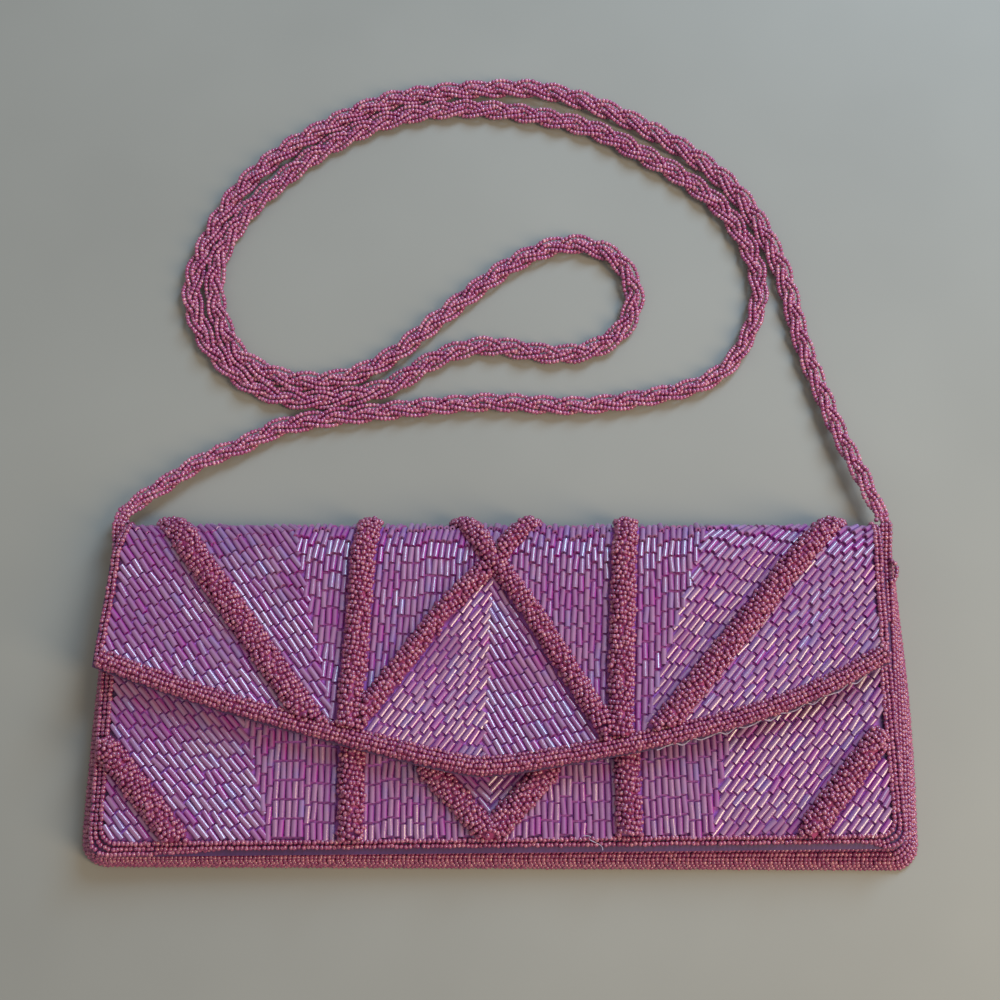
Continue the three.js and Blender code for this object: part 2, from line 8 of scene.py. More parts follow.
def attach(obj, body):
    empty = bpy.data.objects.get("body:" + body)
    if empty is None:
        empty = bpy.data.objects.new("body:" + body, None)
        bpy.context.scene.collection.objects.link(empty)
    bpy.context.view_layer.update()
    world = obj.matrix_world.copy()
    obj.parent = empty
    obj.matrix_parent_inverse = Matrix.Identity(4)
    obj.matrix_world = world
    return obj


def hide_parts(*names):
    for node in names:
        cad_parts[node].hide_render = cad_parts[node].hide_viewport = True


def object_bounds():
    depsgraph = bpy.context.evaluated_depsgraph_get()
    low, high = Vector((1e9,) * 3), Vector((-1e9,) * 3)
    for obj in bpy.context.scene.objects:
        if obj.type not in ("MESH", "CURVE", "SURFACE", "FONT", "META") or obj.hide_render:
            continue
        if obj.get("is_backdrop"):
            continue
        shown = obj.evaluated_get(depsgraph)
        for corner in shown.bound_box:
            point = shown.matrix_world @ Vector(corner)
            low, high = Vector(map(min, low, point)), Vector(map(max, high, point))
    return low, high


# A beaded clutch, dressed bead by bead over its solids: satin cloth, bugle fields, seed-bead ridges and a
# braided strap. Lengths are in millimetres until a mesh is made; the frame, lights and camera are in metres.

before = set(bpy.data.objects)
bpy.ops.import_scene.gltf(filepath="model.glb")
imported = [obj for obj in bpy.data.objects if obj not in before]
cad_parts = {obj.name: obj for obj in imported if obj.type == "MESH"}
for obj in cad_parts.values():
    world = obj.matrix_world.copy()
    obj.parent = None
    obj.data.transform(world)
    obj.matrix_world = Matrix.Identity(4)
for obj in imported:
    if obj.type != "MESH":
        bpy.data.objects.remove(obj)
cad_low, cad_high = (list(map(float, corner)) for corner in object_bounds())

MM = 0.001
SIDES = (("left", -1), ("right", 1))
rng = np.random.default_rng(20)

# Sizes and levels, as in the solids
WALL = 2.5
POCKET_DEPTH = 5.6
FRONT_UNDER = WALL + POCKET_DEPTH
FRONT_TOP = FRONT_UNDER + WALL
FLAP_GAP = 0.4
FLAP_TOP = FRONT_TOP + FLAP_GAP + WALL
FOLD_Y = 37.0
FOLD_REACH = 13.2
FOLD_HALF_HEIGHT = FLAP_TOP / 2
FOLD_HALF_WIDTH = 114.6
FOLD_CENTRE = -0.2
FOLD_RUN = 14.0  # the flap's width and middle line change to the fold's along this run
FLAP_HALF_WIDTH = 115.0
FLAP_TIP_Y = -25.3
FLAP_CORNER_RISE = 33.0
FLAP_STRAIGHT_SHARE = {"left": 0.88, "right": 0.6}
FLAP_TIP_SOFTNESS = 0.06
FLAP_CENTRE = -1.6
FLAP_LEAN = 0.05
FLAP_LIFT = 3.2
FLAP_LIFT_RUN = 30.0
FLAP_PATTERN_SHIFT = -1.1
BORDER_WIDTH = 5.6
BACK_BOTTOM_Y = -45.8
BACK_HALF_WIDTH = 116.6
BACK_CENTRE = -0.4
CORNER_RADIUS = 5.0
FRONT_CENTRE = -1.6
FRONT_TURN = math.radians(0.57)
FRONT_HALF_WIDTH = 116.0
FRONT_BOTTOM = -46.0
FRONT_TOP_EDGE = 36.0
FRONT_RIM_DROP = 0.9
FRONT_RIM_RUN = 7.0
FRONT_PATTERN_SHIFT = -2.3
GUSSET_THICKNESS = 2.4
GUSSET_GAP = 0.4
GUSSET_TOP = FRONT_UNDER - FRONT_RIM_DROP - GUSSET_GAP
GUSSET_BULGE = 1.0
GUSSET_END_Y = 50.2
GUSSET_END_X = 117.8
GUSSET_END_LOW = 2.2
GUSSET_END_HIGH = 9.2
GUSSET_GATHER_Y = 39.0
GUSSET_FOOT = {"left": -122.0, "right": 120.8, "bottom_left": -50.3, "bottom_right": -51.7,
               "radius": 8.0, "bow_left": 1.2, "bow_right": 2.2}
GUSSET_HEAD = {"left": -116.4, "right": 113.2, "bottom_left": -45.9, "bottom_right": -43.7,
               "radius": 4.0, "bow_left": 0.3, "bow_right": 0.6}
RIDGE_WIDTH = 7.8
RIDGE_TOP = 3.2  # height of a ridge's crest over the bead layer
RIDGE_PAST_FOLD = 2.0
RIDGE_FOLD_SHARE = 0.68  # of its full height, where a ridge ends on the fold
CROSS_WIDTH = 6.6
UPRIGHT_U = 38.7
SLANT_SHIFT = 1.35
SLANT_LINE = {"run": (-20.0, 62.0), "u": (42.28, 108.44)}
CROSSING_RUN = 37.7
OVER_LINE = {"run": (-16.0, 22.5, CROSSING_RUN, 62.0), "u": (37.6, 11.9, 0.2, -18.0)}
UNDER_LINE = {"run": (-16.0, 22.5, CROSSING_RUN, 62.0), "u": (41.0, 13.9, -0.2, -17.0)}
FLAP_SPLIT = {"run": (-20.0, 62.0), "u": (42.03, 66.05)}
FRONT_UPRIGHT = 39.3
CORNER_RIDGE = {"outer": (110.05, -16.5), "inner": (88.05, -42.5), "shift": 0.75}
CHEVRON_APEX = -40.0
CHEVRON_SLOPE = 0.92
CHEVRON_SOFTNESS = 0.06
FRONT_SPLIT = {"v": (-60.0, 20.0), "u": (58.5, 77.17)}

# Beads
BUGLE_LENGTH = 4.66
BUGLE_RADIUS = 0.86
BUGLE_HOLE = 0.3
BUGLE_SIDES = 10
BUGLE_PITCH = 5.3
COLUMN_PITCH = 1.82
BEAD_LAYER = 1.75  # from the outer face to the bugles' undersides
SUNK = 0.6  # the bugles are drawn this far into the cloth
SEED_RADIUS = 0.81
SEED_HALF = 0.6
SEED_END_RADIUS = 0.62 * SEED_RADIUS
SEED_SIDES = 8
SEED_PITCH = 1.25
NEARBY = 0.4  # a direction on a surface is taken between points this far off
TUCK = 2.6  # bugles may reach this far under a ridge's edge
TUCK_SHOWN = 0.5  # and always cover this much of it

STRAP_LAID = 2.3
STRAP_LEFT = [
    (-116.2, 50.6, 5.7), (-115.9, 53.4, 5.7), (-111.6, 57.6, 5.5), (-103.1, 64, 4.9), (-93.6, 70.4, 4),
    (-80.5, 75.9, 3), (-69.7, 81.5), (-49.9, 85.2), (-7, 90.9), (22.7, 89.9), (39.5, 91.5), (64, 97.6),
    (73.2, 104.4), (79.9, 115.6), (83.4, 127.2), (83.1, 136.6), (80.3, 146.2), (73.1, 158.7),
    (60.6, 170.3), (46.9, 179.3), (29.1, 189.2), (-10, 196.5), (-37.9, 192.4), (-60.3, 180.8),
    (-74.1, 168.9), (-84.2, 158), (-92.4, 142), (-93.6, 129.3), (-90.4, 117.5), (-84.1, 106.8),
    (-72.5, 100.1), (-60.4, 98), (-46.6, 100.5), (-35.2, 106.8), (-21.4, 118.7), (6, 140.4),
    (22.6, 146.1), (36.2, 141.9), (41.5, 134.5), (42.4, 131),
]
STRAP_RIGHT = [
    (42.4, 130.6), (42.9, 126.5), (39.9, 117.6), (33.7, 111.5), (25.8, 108.1), (16.9, 107.3),
    (-6.8, 110.1), (-21.1, 105.7), (-35.5, 96.6), (-51.3, 92.6), (-64.6, 91.9), (-78.7, 96.2),
    (-89, 104.4), (-96.5, 114.7), (-100.9, 129.3), (-97.6, 144.6), (-88.8, 163.6), (-77.2, 177),
    (-62.8, 187.6), (-41.5, 198.6), (-30.6, 201.4), (-7.5, 204.1), (15.2, 203.4), (42.6, 192.6),
    (68.3, 175.1), (80.9, 160.6), (90.8, 138.2), (96.3, 111.8), (101.5, 93.3, 3), (105.6, 80.2, 3.9),
    (110.5, 67.7, 4.9), (114.4, 57, 5.6), (116, 53.6, 5.7), (116.2, 50.6, 5.7),
]


def smooth(x, low, high):
    t = np.clip((x - low) / (high - low), 0, 1)
    return t * t * (3 - 2 * t)


def unit(v):
    return v / np.linalg.norm(v, axis=-1, keepdims=True)


def lengths_along(points):
    steps = np.linalg.norm(np.diff(points, axis=0), axis=1)
    return np.concatenate([[0], np.cumsum(steps)])


def between(x, places, table):
    """A table's rows, read at x, with each row standing at its place."""
    return np.stack([np.interp(x, places, column) for column in table.T], -1)


def matched(*values):
    return np.broadcast_arrays(*(np.asarray(a, float) for a in values))


# Surfaces of the bag

_angles = np.linspace(0, np.pi, 721)
_middles = (_angles[1:] + _angles[:-1]) / 2
_speed = np.hypot(FOLD_REACH * np.cos(_middles), FOLD_HALF_HEIGHT * np.sin(_middles))
_arcs = np.concatenate([[0], np.cumsum(_speed) * np.pi / len(_middles)])
FOLD_LENGTH = _arcs[-1]
FOLD_END = FOLD_Y + FOLD_LENGTH
WRAP_END = FOLD_END + FOLD_Y - BACK_BOTTOM_Y
APEX_RUN = FOLD_Y + FOLD_LENGTH / 2
BEADED_PAST_FOLD = 5.0
BEADED_TO = APEX_RUN + BEADED_PAST_FOLD


def flap_edge(u):
    t = np.minimum(np.abs(u - FLAP_PATTERN_SHIFT) / FLAP_HALF_WIDTH, 1)
    soft = np.hypot(t, FLAP_TIP_SOFTNESS) - FLAP_TIP_SOFTNESS
    share = np.where(u < FLAP_PATTERN_SHIFT, FLAP_STRAIGHT_SHARE["left"], FLAP_STRAIGHT_SHARE["right"])
    return FLAP_TIP_Y + FLAP_CORNER_RISE * (share * soft + (1 - share) * t**4)


def corner_inset(distance):
    reach = np.clip(CORNER_RADIUS - distance, 0, CORNER_RADIUS)
    return CORNER_RADIUS - np.sqrt(CORNER_RADIUS**2 - reach**2)


def wrap_blend(run, flap, fold, back):
    """A size that passes from the flap's to the fold's and on to the back's at its bottom edge."""
    to_fold = smooth(run, FOLD_Y, FOLD_Y + FOLD_RUN)
    to_back = np.clip((run - FOLD_END) / (WRAP_END - FOLD_END), 0, 1)
    return flap + (fold - flap) * to_fold + (back - fold) * to_back


def wrap_half(run):
    return wrap_blend(run, FLAP_HALF_WIDTH, FOLD_HALF_WIDTH, BACK_HALF_WIDTH) - corner_inset(WRAP_END - run)


def wrap_point(u, run, height):
    """A point of the wrap: u from its middle line, run along it, height over its outer face."""
    u, run, height = matched(u, run, height)
    angle = np.interp(run - FOLD_Y, _arcs, _angles)
    out_y, out_z = np.sin(angle) / FOLD_REACH, np.cos(angle) / FOLD_HALF_HEIGHT
    size = np.hypot(out_y, out_z)
    lean = -FLAP_LEAN * np.maximum(FOLD_Y - run, 0)
    centre = wrap_blend(run, FLAP_CENTRE, FOLD_CENTRE, BACK_CENTRE) + lean
    y = FOLD_Y + FOLD_REACH * np.sin(angle) + height * out_y / size
    y = y + np.minimum(run - FOLD_Y, 0) - np.maximum(run - FOLD_END, 0)
    z = FOLD_HALF_HEIGHT * (1 + np.cos(angle)) + height * out_z / size
    z = z + FLAP_LIFT * (1 - smooth(run - flap_edge(u), 0, FLAP_LIFT_RUN)) * (run <= FOLD_Y)
    return np.stack([centre + u, y, z], -1)


def front_point(u, v, height):
    u, v, height = matched(u, v, height)
    to_rim = np.minimum(FRONT_HALF_WIDTH - np.abs(u), v - FRONT_BOTTOM)
    drop = FRONT_RIM_DROP * (1 - np.clip(to_rim / FRONT_RIM_RUN, 0, 1)) ** 2
    cos, sin = math.cos(FRONT_TURN), math.sin(FRONT_TURN)
    return np.stack([FRONT_CENTRE + u * cos - v * sin, u * sin + v * cos, FRONT_TOP - drop + height], -1)


def flap_place(p, run, height):
    return wrap_point(np.asarray(p) + FLAP_PATTERN_SHIFT, run, height)


def front_place(q, v, height):
    return front_point(np.asarray(q) + FRONT_PATTERN_SHIFT, v, height)


OUTLINE_STEPS = {"side": 120, "arc": 24, "bottom": 240}


def outline(left, right, bottom_left, bottom_right, radius, bow_left, bow_right):
    """Left side, bottom and right side of an outline that is open at the fold, its sides bowed out."""
    bowed = lambda t, bow: np.concatenate([bow * np.sin(np.pi * t), 0 * t], 1)
    turn = np.linspace(0, np.pi / 2, OUTLINE_STEPS["arc"])
    ring = lambda x, y, a: np.stack([x + radius * np.cos(a + turn), y + radius * np.sin(a + turn)], -1)
    straight = lambda low, high, t: np.array([low]) + (np.array([high]) - np.array([low])) * t
    down = np.linspace(0, 1, OUTLINE_STEPS["side"], endpoint=False)[:, None]
    along = np.linspace(0, 1, OUTLINE_STEPS["bottom"] + 1)[1:-1, None]
    up = np.linspace(0, 1, OUTLINE_STEPS["side"] + 1)[1:, None]
    left_foot, right_foot = (left, bottom_left + radius), (right, bottom_right + radius)
    return np.concatenate([
        straight((-GUSSET_END_X, GUSSET_END_Y), left_foot, down) - bowed(down, bow_left),
        ring(left + radius, bottom_left + radius, np.pi),
        straight((left + radius, bottom_left), (right - radius, bottom_right), along),
        ring(right - radius, bottom_right + radius, 1.5 * np.pi),
        straight(right_foot, (GUSSET_END_X, GUSSET_END_Y), up) + bowed(up, bow_right),
    ])


_foot = outline(**GUSSET_FOOT)
_head = outline(**GUSSET_HEAD)
_along = unit(np.gradient(_foot, axis=0))
_out = np.stack([_along[:, 1], -_along[:, 0]], -1)
GUSSET_STATIONS = len(_foot)


def gusset_point(station, t, height):
    """A point of the gusset: station counts along its outline, t runs from the floor to the front's rim."""
    station, t, height = matched(station, t, height)
    index = np.arange(GUSSET_STATIONS)
    foot, head, out = (between(station, index, table) for table in (_foot, _head, _out))
    gather = smooth(foot[..., 1], GUSSET_GATHER_Y, GUSSET_END_Y)
    outward = GUSSET_BULGE * np.sin(np.pi * t) * (1 - gather) + height
    place = foot + (head - foot) * t[..., None] + out * outward[..., None]
    low, high = GUSSET_END_LOW * gather, GUSSET_TOP + (GUSSET_END_HIGH - GUSSET_TOP) * gather
    return np.concatenate([place, (low + (high - low) * t)[..., None]], -1)


# Meshes

# Bends of more than these degrees keep a sharp edge
SHEET_EDGE = 50
ROLL_EDGE = 60
BUGLE_EDGE = 50


def mesh_object(name, points, loops, starts, material, floats=(), sharp=None):
    """An object from points in millimetres and faces given as one list of corners with their starts."""
    mesh = bpy.data.meshes.new(name)
    mesh.vertices.add(len(points))
    mesh.vertices.foreach_set("co", (np.asarray(points) * MM).astype(np.float32).ravel())
    mesh.loops.add(len(loops))
    mesh.loops.foreach_set("vertex_index", np.asarray(loops, np.int32))
    mesh.polygons.add(len(starts))
    mesh.polygons.foreach_set("loop_start", np.asarray(starts, np.int32))
    mesh.update(calc_edges=True)
    for label, domain, values in floats:
        layer = mesh.attributes.new(label, "FLOAT", domain)
        layer.data.foreach_set("value", np.asarray(values, np.float32))
    mesh.polygons.foreach_set("use_smooth", np.ones(len(starts), bool))
    if sharp is not None:
        mesh.set_sharp_from_angle(angle=math.radians(sharp))
    mesh.materials.append(material)
    obj = bpy.data.objects.new(name, mesh)
    bpy.context.collection.objects.link(obj)
    return obj


def sheet_object(name, outer, inner, material, painted_bead_light=None):
    """A closed sheet from two grids of points, rows by columns; its bead-light mask is where beads cover its
    outer face, and there the satin is painted brighter for the light that comes through the beads.
    """
    rows, columns = outer.shape[:2]
    points = np.concatenate([outer.reshape(-1, 3), inner.reshape(-1, 3)])
    index = np.arange(rows * columns).reshape(rows, columns)
    under = index + rows * columns
    face = lambda a, b, c, d: np.stack([a.ravel(), b.ravel(), c.ravel(), d.ravel()], -1)
    quads = np.concatenate([
        face(index[:-1, :-1], index[:-1, 1:], index[1:, 1:], index[1:, :-1]),
        face(under[:-1, :-1], under[1:, :-1], under[1:, 1:], under[:-1, 1:]),
        face(index[0, 1:], index[0, :-1], under[0, :-1], under[0, 1:]),
        face(index[-1, :-1], index[-1, 1:], under[-1, 1:], under[-1, :-1]),
        face(index[:-1, 0], index[1:, 0], under[1:, 0], under[:-1, 0]),
        face(index[1:, -1], index[:-1, -1], under[:-1, -1], under[1:, -1]),
    ])
    painted_bead_light = np.zeros((rows, columns)) if painted_bead_light is None else painted_bead_light
    floats = (("painted_bead_light", "POINT", np.concatenate([painted_bead_light.ravel(), np.zeros(rows * columns)])),)
    return mesh_object(name, points, quads.ravel(), np.arange(len(quads)) * 4, material, floats, SHEET_EDGE)


def roll_object(name, loops, material):
    """A closed roll through a row of loops, with a flat face at each end."""
    count, sides = loops.shape[:2]
    index = np.arange(count * sides).reshape(count, sides)
    after = np.roll(index, -1, axis=1)
    quads = np.stack([index[:-1], after[:-1], after[1:], index[1:]], -1).reshape(-1, 4)
    corners = np.concatenate([quads.ravel(), index[0][::-1], index[-1]])
    starts = np.concatenate([np.arange(len(quads)) * 4, [quads.size, quads.size + sides]])
    return mesh_object(name, loops.reshape(-1, 3), corners, starts, material, sharp=ROLL_EDGE)


def turned(profile, sides, hollow):
    """A bead turned about X from a profile of (x, radius): points and faces."""
    turn = 2 * np.pi * np.arange(sides) / sides + np.pi / 2
    points = np.array([(x, r * math.cos(a), r * math.sin(a)) for x, r in profile for a in turn])
    rings = len(profile)
    corner = lambda ring, k: ring % rings * sides + k % sides
    faces = [(corner(i, k), corner(i, k + 1), corner(i + 1, k + 1), corner(i + 1, k))
             for i in range(rings if hollow else rings - 1) for k in range(sides)]
    if not hollow:
        faces.append(tuple(range(sides))[::-1])
        faces.append(tuple(range((rings - 1) * sides, rings * sides)))
    return points, faces


BUGLE_END = BUGLE_LENGTH / 2
BUGLE_PROFILE = [(-BUGLE_END, BUGLE_HOLE), (-BUGLE_END, BUGLE_RADIUS),
                 (BUGLE_END, BUGLE_RADIUS), (BUGLE_END, BUGLE_HOLE)]
SEED_PROFILE = [(-SEED_HALF, SEED_END_RADIUS), (0, SEED_RADIUS), (SEED_HALF, SEED_END_RADIUS)]
BUGLE = turned(BUGLE_PROFILE, BUGLE_SIDES, True)
SEED = turned(SEED_PROFILE, SEED_SIDES, False)


def bead_object(name, template, spots, material, stretch=None, grow=None, roll=False):
    """One mesh of many beads. spots is (places, along, up): each bead's middle, its hole's direction and its
    outer side. Rolled beads lie any way round, and only the edges of their ends are sharp."""
    places, along, up = spots
    count = len(places)
    along = unit(along)
    side = unit(np.cross(up, along))
    up = np.cross(along, side)
    shape, faces = template
    shape = np.repeat(shape[None], count, 0)
    if roll:
        turn = rng.uniform(0, 2 * np.pi, (count, 1))
        cos, sin = np.cos(turn), np.sin(turn)
        x, y, z = (shape[..., k] for k in range(3))
        shape = np.stack([x, y * cos - z * sin, y * sin + z * cos], -1)
    # Painted highlight: a share that rises toward each bead's top, where its material paints the glass
    # paler.
    painted_crown = np.clip(shape[..., 2] / template[0][:, 2].max(), 0, 1).ravel()
    if stretch is not None:
        shape[..., 0] *= stretch[:, None]
    if grow is not None:
        shape[..., 1:] *= grow[:, None, None]
    points = places[:, None] + shape[..., :1] * along[:, None] + shape[..., 1:2] * side[:, None]
    points = points + shape[..., 2:] * up[:, None]
    corners = np.concatenate([np.array(f) for f in faces])
    sizes = np.array([len(f) for f in faces])
    first = np.concatenate([[0], np.cumsum(sizes)[:-1]])
    each = np.arange(count)[:, None]
    loops = (corners[None] + each * len(template[0])).ravel()
    starts = (first[None] + each * len(corners)).ravel()
    tint = np.repeat(rng.random(count), len(faces))
    floats = (("tint", "FACE", tint), ("painted_crown", "POINT", painted_crown))
    sharp = BUGLE_EDGE if roll else None
    obj = mesh_object(name, points.reshape(-1, 3), loops, starts, material, floats, sharp)
    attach(obj, "root")
    return obj


# Materials

# The crown is a painted highlight: each bead's top is mixed toward a paler colour.
PAINTED_CROWN_POWER = 3.0  # how narrow the paler crown is
COAT_LEAST = 0.3  # of the glass's coat, on the dullest bead
COAT_RANGE = 1.4  # and how much more on the brightest


def new_material(name):
    mat = bpy.data.materials.new(name)
    mat.use_nodes = True
    return mat, mat.node_tree, mat.node_tree.nodes["Principled BSDF"]


def fill_in(node, values):
    for label, value in values.items():
        node.inputs[label].default_value = value


def attribute(tree, label):
    node = tree.nodes.new("ShaderNodeAttribute")
    node.attribute_name = label
    return node.outputs["Fac"]


def math_node(tree, operation, first, second):
    node = tree.nodes.new("ShaderNodeMath")
    node.operation = operation
    for socket, value in zip(node.inputs, (first, second)):
        if isinstance(value, (int, float)):
            socket.default_value = value
        else:
            tree.links.new(value, socket)
    return node.outputs[0]


def texture(tree, kind, values):
    """A texture in the object's own space."""
    node = tree.nodes.new(kind)
    fill_in(node, values)
    place = tree.nodes.new("ShaderNodeTexCoord")
    tree.links.new(place.outputs["Object"], node.inputs["Vector"])
    return node.outputs["Fac"]


def ramp_of(tree, stops, share):
    """The colour at a share of the way along a ramp."""
    ramp = tree.nodes.new("ShaderNodeValToRGB")
    while len(ramp.color_ramp.elements) < len(stops):
        ramp.color_ramp.elements.new(0.5)
    for element, (place, color) in zip(ramp.color_ramp.elements, stops):
        element.position = place
        element.color = (*color, 1)
    tree.links.new(share, ramp.inputs["Fac"])
    return ramp.outputs["Color"]


def mixed(tree, share, base, color):
    """The base with a share of another colour."""
    mix = tree.nodes.new("ShaderNodeMix")
    mix.data_type = "RGBA"
    mix.inputs["B"].default_value = (*color, 1)
    tree.links.new(share, mix.inputs["Factor"])
    tree.links.new(base, mix.inputs["A"])
    return mix.outputs["Result"]


def glass_beads(name, stops, painted_crown_color, painted_crown_share, film, rough, coat, tone_and_glints):
    """Lustred glass: each bead its own colour from the ramp, varied by a cloud that on the seeds also paints
    glints and inner reflections over the glass's own colour, with a painted highlight that makes its crown
    paler, under a film."""
    mat, tree, bsdf = new_material(name)
    # The cloud varies the glass's tone; at the seeds' fine scale it also paints glints and inner
    # reflections.
    cloud = texture(tree, "ShaderNodeTexNoise", {"Scale": tone_and_glints["scale"], "Detail": 1.0})
    spread = math_node(tree, "MULTIPLY", math_node(tree, "SUBTRACT", cloud, 0.5), tone_and_glints["spread"])
    tint = attribute(tree, "tint")
    own = math_node(tree, "MULTIPLY", tint, tone_and_glints["own"])
    own = math_node(tree, "ADD", own, 0.5 - tone_and_glints["own"] / 2)
    color = ramp_of(tree, stops, math_node(tree, "ADD", own, spread))
    # Painted highlight: the bead's top is mixed toward the paler crown colour.
    painted_crown = math_node(tree, "POWER", attribute(tree, "painted_crown"), PAINTED_CROWN_POWER)
    color = mixed(tree, math_node(tree, "MULTIPLY", painted_crown, painted_crown_share), color, painted_crown_color)
    tree.links.new(color, bsdf.inputs["Base Color"])
    gloss = math_node(tree, "FRACT", math_node(tree, "MULTIPLY", tint, 7.0), 0.0)
    gloss = math_node(tree, "MULTIPLY", gloss, COAT_RANGE * coat)
    tree.links.new(math_node(tree, "ADD", gloss, COAT_LEAST * coat), bsdf.inputs["Coat Weight"])
    fill_in(bsdf, {"Roughness": rough, "IOR": 1.55, "Specular IOR Level": 0.6, "Coat Roughness": 0.08,
                   "Thin Film Thickness": film, "Thin Film IOR": 1.7})
    return mat


def satin(name, dark, light, painted_bead_light=None):
    """Woven satin, clouded from dark to light. Where its bead-light attribute is 1 it takes a brighter
    painted colour, for the light that comes to it through the beads."""
    mat, tree, bsdf = new_material(name)
    weave = texture(tree, "ShaderNodeTexWave", {"Scale": 900.0, "Distortion": 1.5, "Detail": 2.0})
    cloud = texture(tree, "ShaderNodeTexNoise", {"Scale": 60.0, "Detail": 4.0})
    color = ramp_of(tree, ((0.3, dark), (0.7, light)), cloud)
    # Painted light: the bead-light attribute mixes in a brighter colour for the light that comes through the
    # beads.
    if painted_bead_light:
        color = mixed(tree, attribute(tree, "painted_bead_light"), color, painted_bead_light)
    tree.links.new(color, bsdf.inputs["Base Color"])
    bump = tree.nodes.new("ShaderNodeBump")
    fill_in(bump, {"Strength": 0.25, "Distance": 0.0002})
    tree.links.new(weave, bump.inputs["Height"])
    tree.links.new(bump.outputs["Normal"], bsdf.inputs["Normal"])
    fill_in(bsdf, {"Roughness": 0.5, "Specular IOR Level": 0.35, "Sheen Weight": 0.06,
                   "Sheen Roughness": 0.35})
    return mat


def snap_metal():
    mat, _, bsdf = new_material("snap_metal")
    fill_in(bsdf, {"Metallic": 1.0, "Roughness": 0.35, "Base Color": (0.6, 0.59, 0.56, 1)})
    return mat


def floor_material():
    mat, tree, bsdf = new_material("floor")
    noise = texture(tree, "ShaderNodeTexNoise", {"Scale": 9.0, "Detail": 3.0})
    color = ramp_of(tree, ((0.3, (0.275, 0.265, 0.228)), (0.7, (0.308, 0.297, 0.256))), noise)
    tree.links.new(color, bsdf.inputs["Base Color"])
    fill_in(bsdf, {"Roughness": 0.75})
    return mat


# The crown colours are painted highlights along the beads' tops.
BUGLE_GLASS = glass_beads(
    "bugle_glass",
    stops=((0.0, (0.36, 0.017, 0.275)), (0.2, (0.3, 0.044, 0.25)), (0.5, (0.31, 0.08, 0.265)),
           (0.8, (0.37, 0.138, 0.295)), (1.0, (0.26, 0.122, 0.36))),
    painted_crown_color=(0.29, 0.152, 0.25), painted_crown_share=0.55, film=420.0, rough=0.25, coat=0.45,
    tone_and_glints={"scale": 300.0, "spread": 0.4, "own": 1.0})
# Painted glints: the seeds' fine cloud and bright top stop paint glints and inner reflections over their own
# colour.
SEED_GLASS = glass_beads(
    "seed_glass",
    stops=((0.0, (0.19, 0.017, 0.087)), (0.35, (0.28, 0.029, 0.112)), (0.65, (0.345, 0.052, 0.138)),
           (1.0, (0.55, 0.2, 0.23))),
    painted_crown_color=(0.5, 0.17, 0.28), painted_crown_share=0.05, film=380.0, rough=0.25, coat=0.35,
    tone_and_glints={"scale": 2300.0, "spread": 2.2, "own": 0.5})
# Painted glints: the strap's fine cloud and bright top stop paint glints and inner reflections over its own
# colour.
STRAP_GLASS = glass_beads(
    "strap_glass",
    stops=((0.0, (0.24, 0.018, 0.105)), (0.35, (0.35, 0.042, 0.15)), (0.65, (0.445, 0.08, 0.2)),
           (1.0, (0.7, 0.33, 0.35))),
    painted_crown_color=(0.6, 0.25, 0.38), painted_crown_share=0.08, film=380.0, rough=0.22, coat=0.4,
    tone_and_glints={"scale": 2300.0, "spread": 2.1, "own": 0.5})
# The third colour is painted light, given to the satin where beads cover it.
SATIN = satin("violet_satin", (0.065, 0.024, 0.085), (0.095, 0.035, 0.12), painted_bead_light=(0.43, 0.11, 0.47))
# The ridge cloth's raspberry is painted lighter, to stand in for light that reaches it in the gaps between
# the seeds.
PADDING = satin("ridge_cloth", (0.32, 0.04, 0.15), (0.4, 0.055, 0.18))
THREAD = satin("sewing_thread", (0.42, 0.34, 0.46), (0.55, 0.48, 0.6))

# Cloth

CORNER_STEPS = np.array([0.15, 0.5, 1.1, 2.0, 3.2, 5.0])  # distances from the bottom edge, round a corner
EDGE_ROLL = 0.6  # the flap is this much thicker at its edge
GUSSET_SUNK = 1.35


def wrap_cloth():
    across = np.linspace(-1, 1, 97)
    u = across * FLAP_HALF_WIDTH
    rows = [(u, flap_edge(u) + (FOLD_Y - flap_edge(u)) * t) for t in np.linspace(0, 1, 40, endpoint=False)]
    fold, back = np.linspace(FOLD_Y, FOLD_END, 48), np.linspace(FOLD_END, WRAP_END - 6, 20)[1:]
    for run in np.concatenate([fold, back, WRAP_END - CORNER_STEPS[::-1], [WRAP_END]]):
        rows.append((across * wrap_half(run), np.full_like(across, run)))
    u, run = (np.array(a) for a in zip(*rows))
    from_edge = run - flap_edge(u)
    outer = (SUNK - BEAD_LAYER) * (1 - smooth(run, BEADED_TO + 1, FOLD_END - 4))
    inner = -WALL - EDGE_ROLL * (1 - smooth(from_edge, 0, 2.0))
    # Painted light: where beads cover the satin, it is painted brighter for the light that comes through
    # them.
    painted_bead_light = smooth(from_edge, 3.5, 5.0) * (1 - smooth(run, BEADED_TO, BEADED_TO + 2))
    painted_bead_light = painted_bead_light * smooth(FLAP_HALF_WIDTH - np.abs(u), 3.5, 5.5)
    obj = sheet_object("wrap_satin", wrap_point(u, run, outer), wrap_point(u, run, inner), SATIN, painted_bead_light)
    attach(obj, "root")
    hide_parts("wrap")


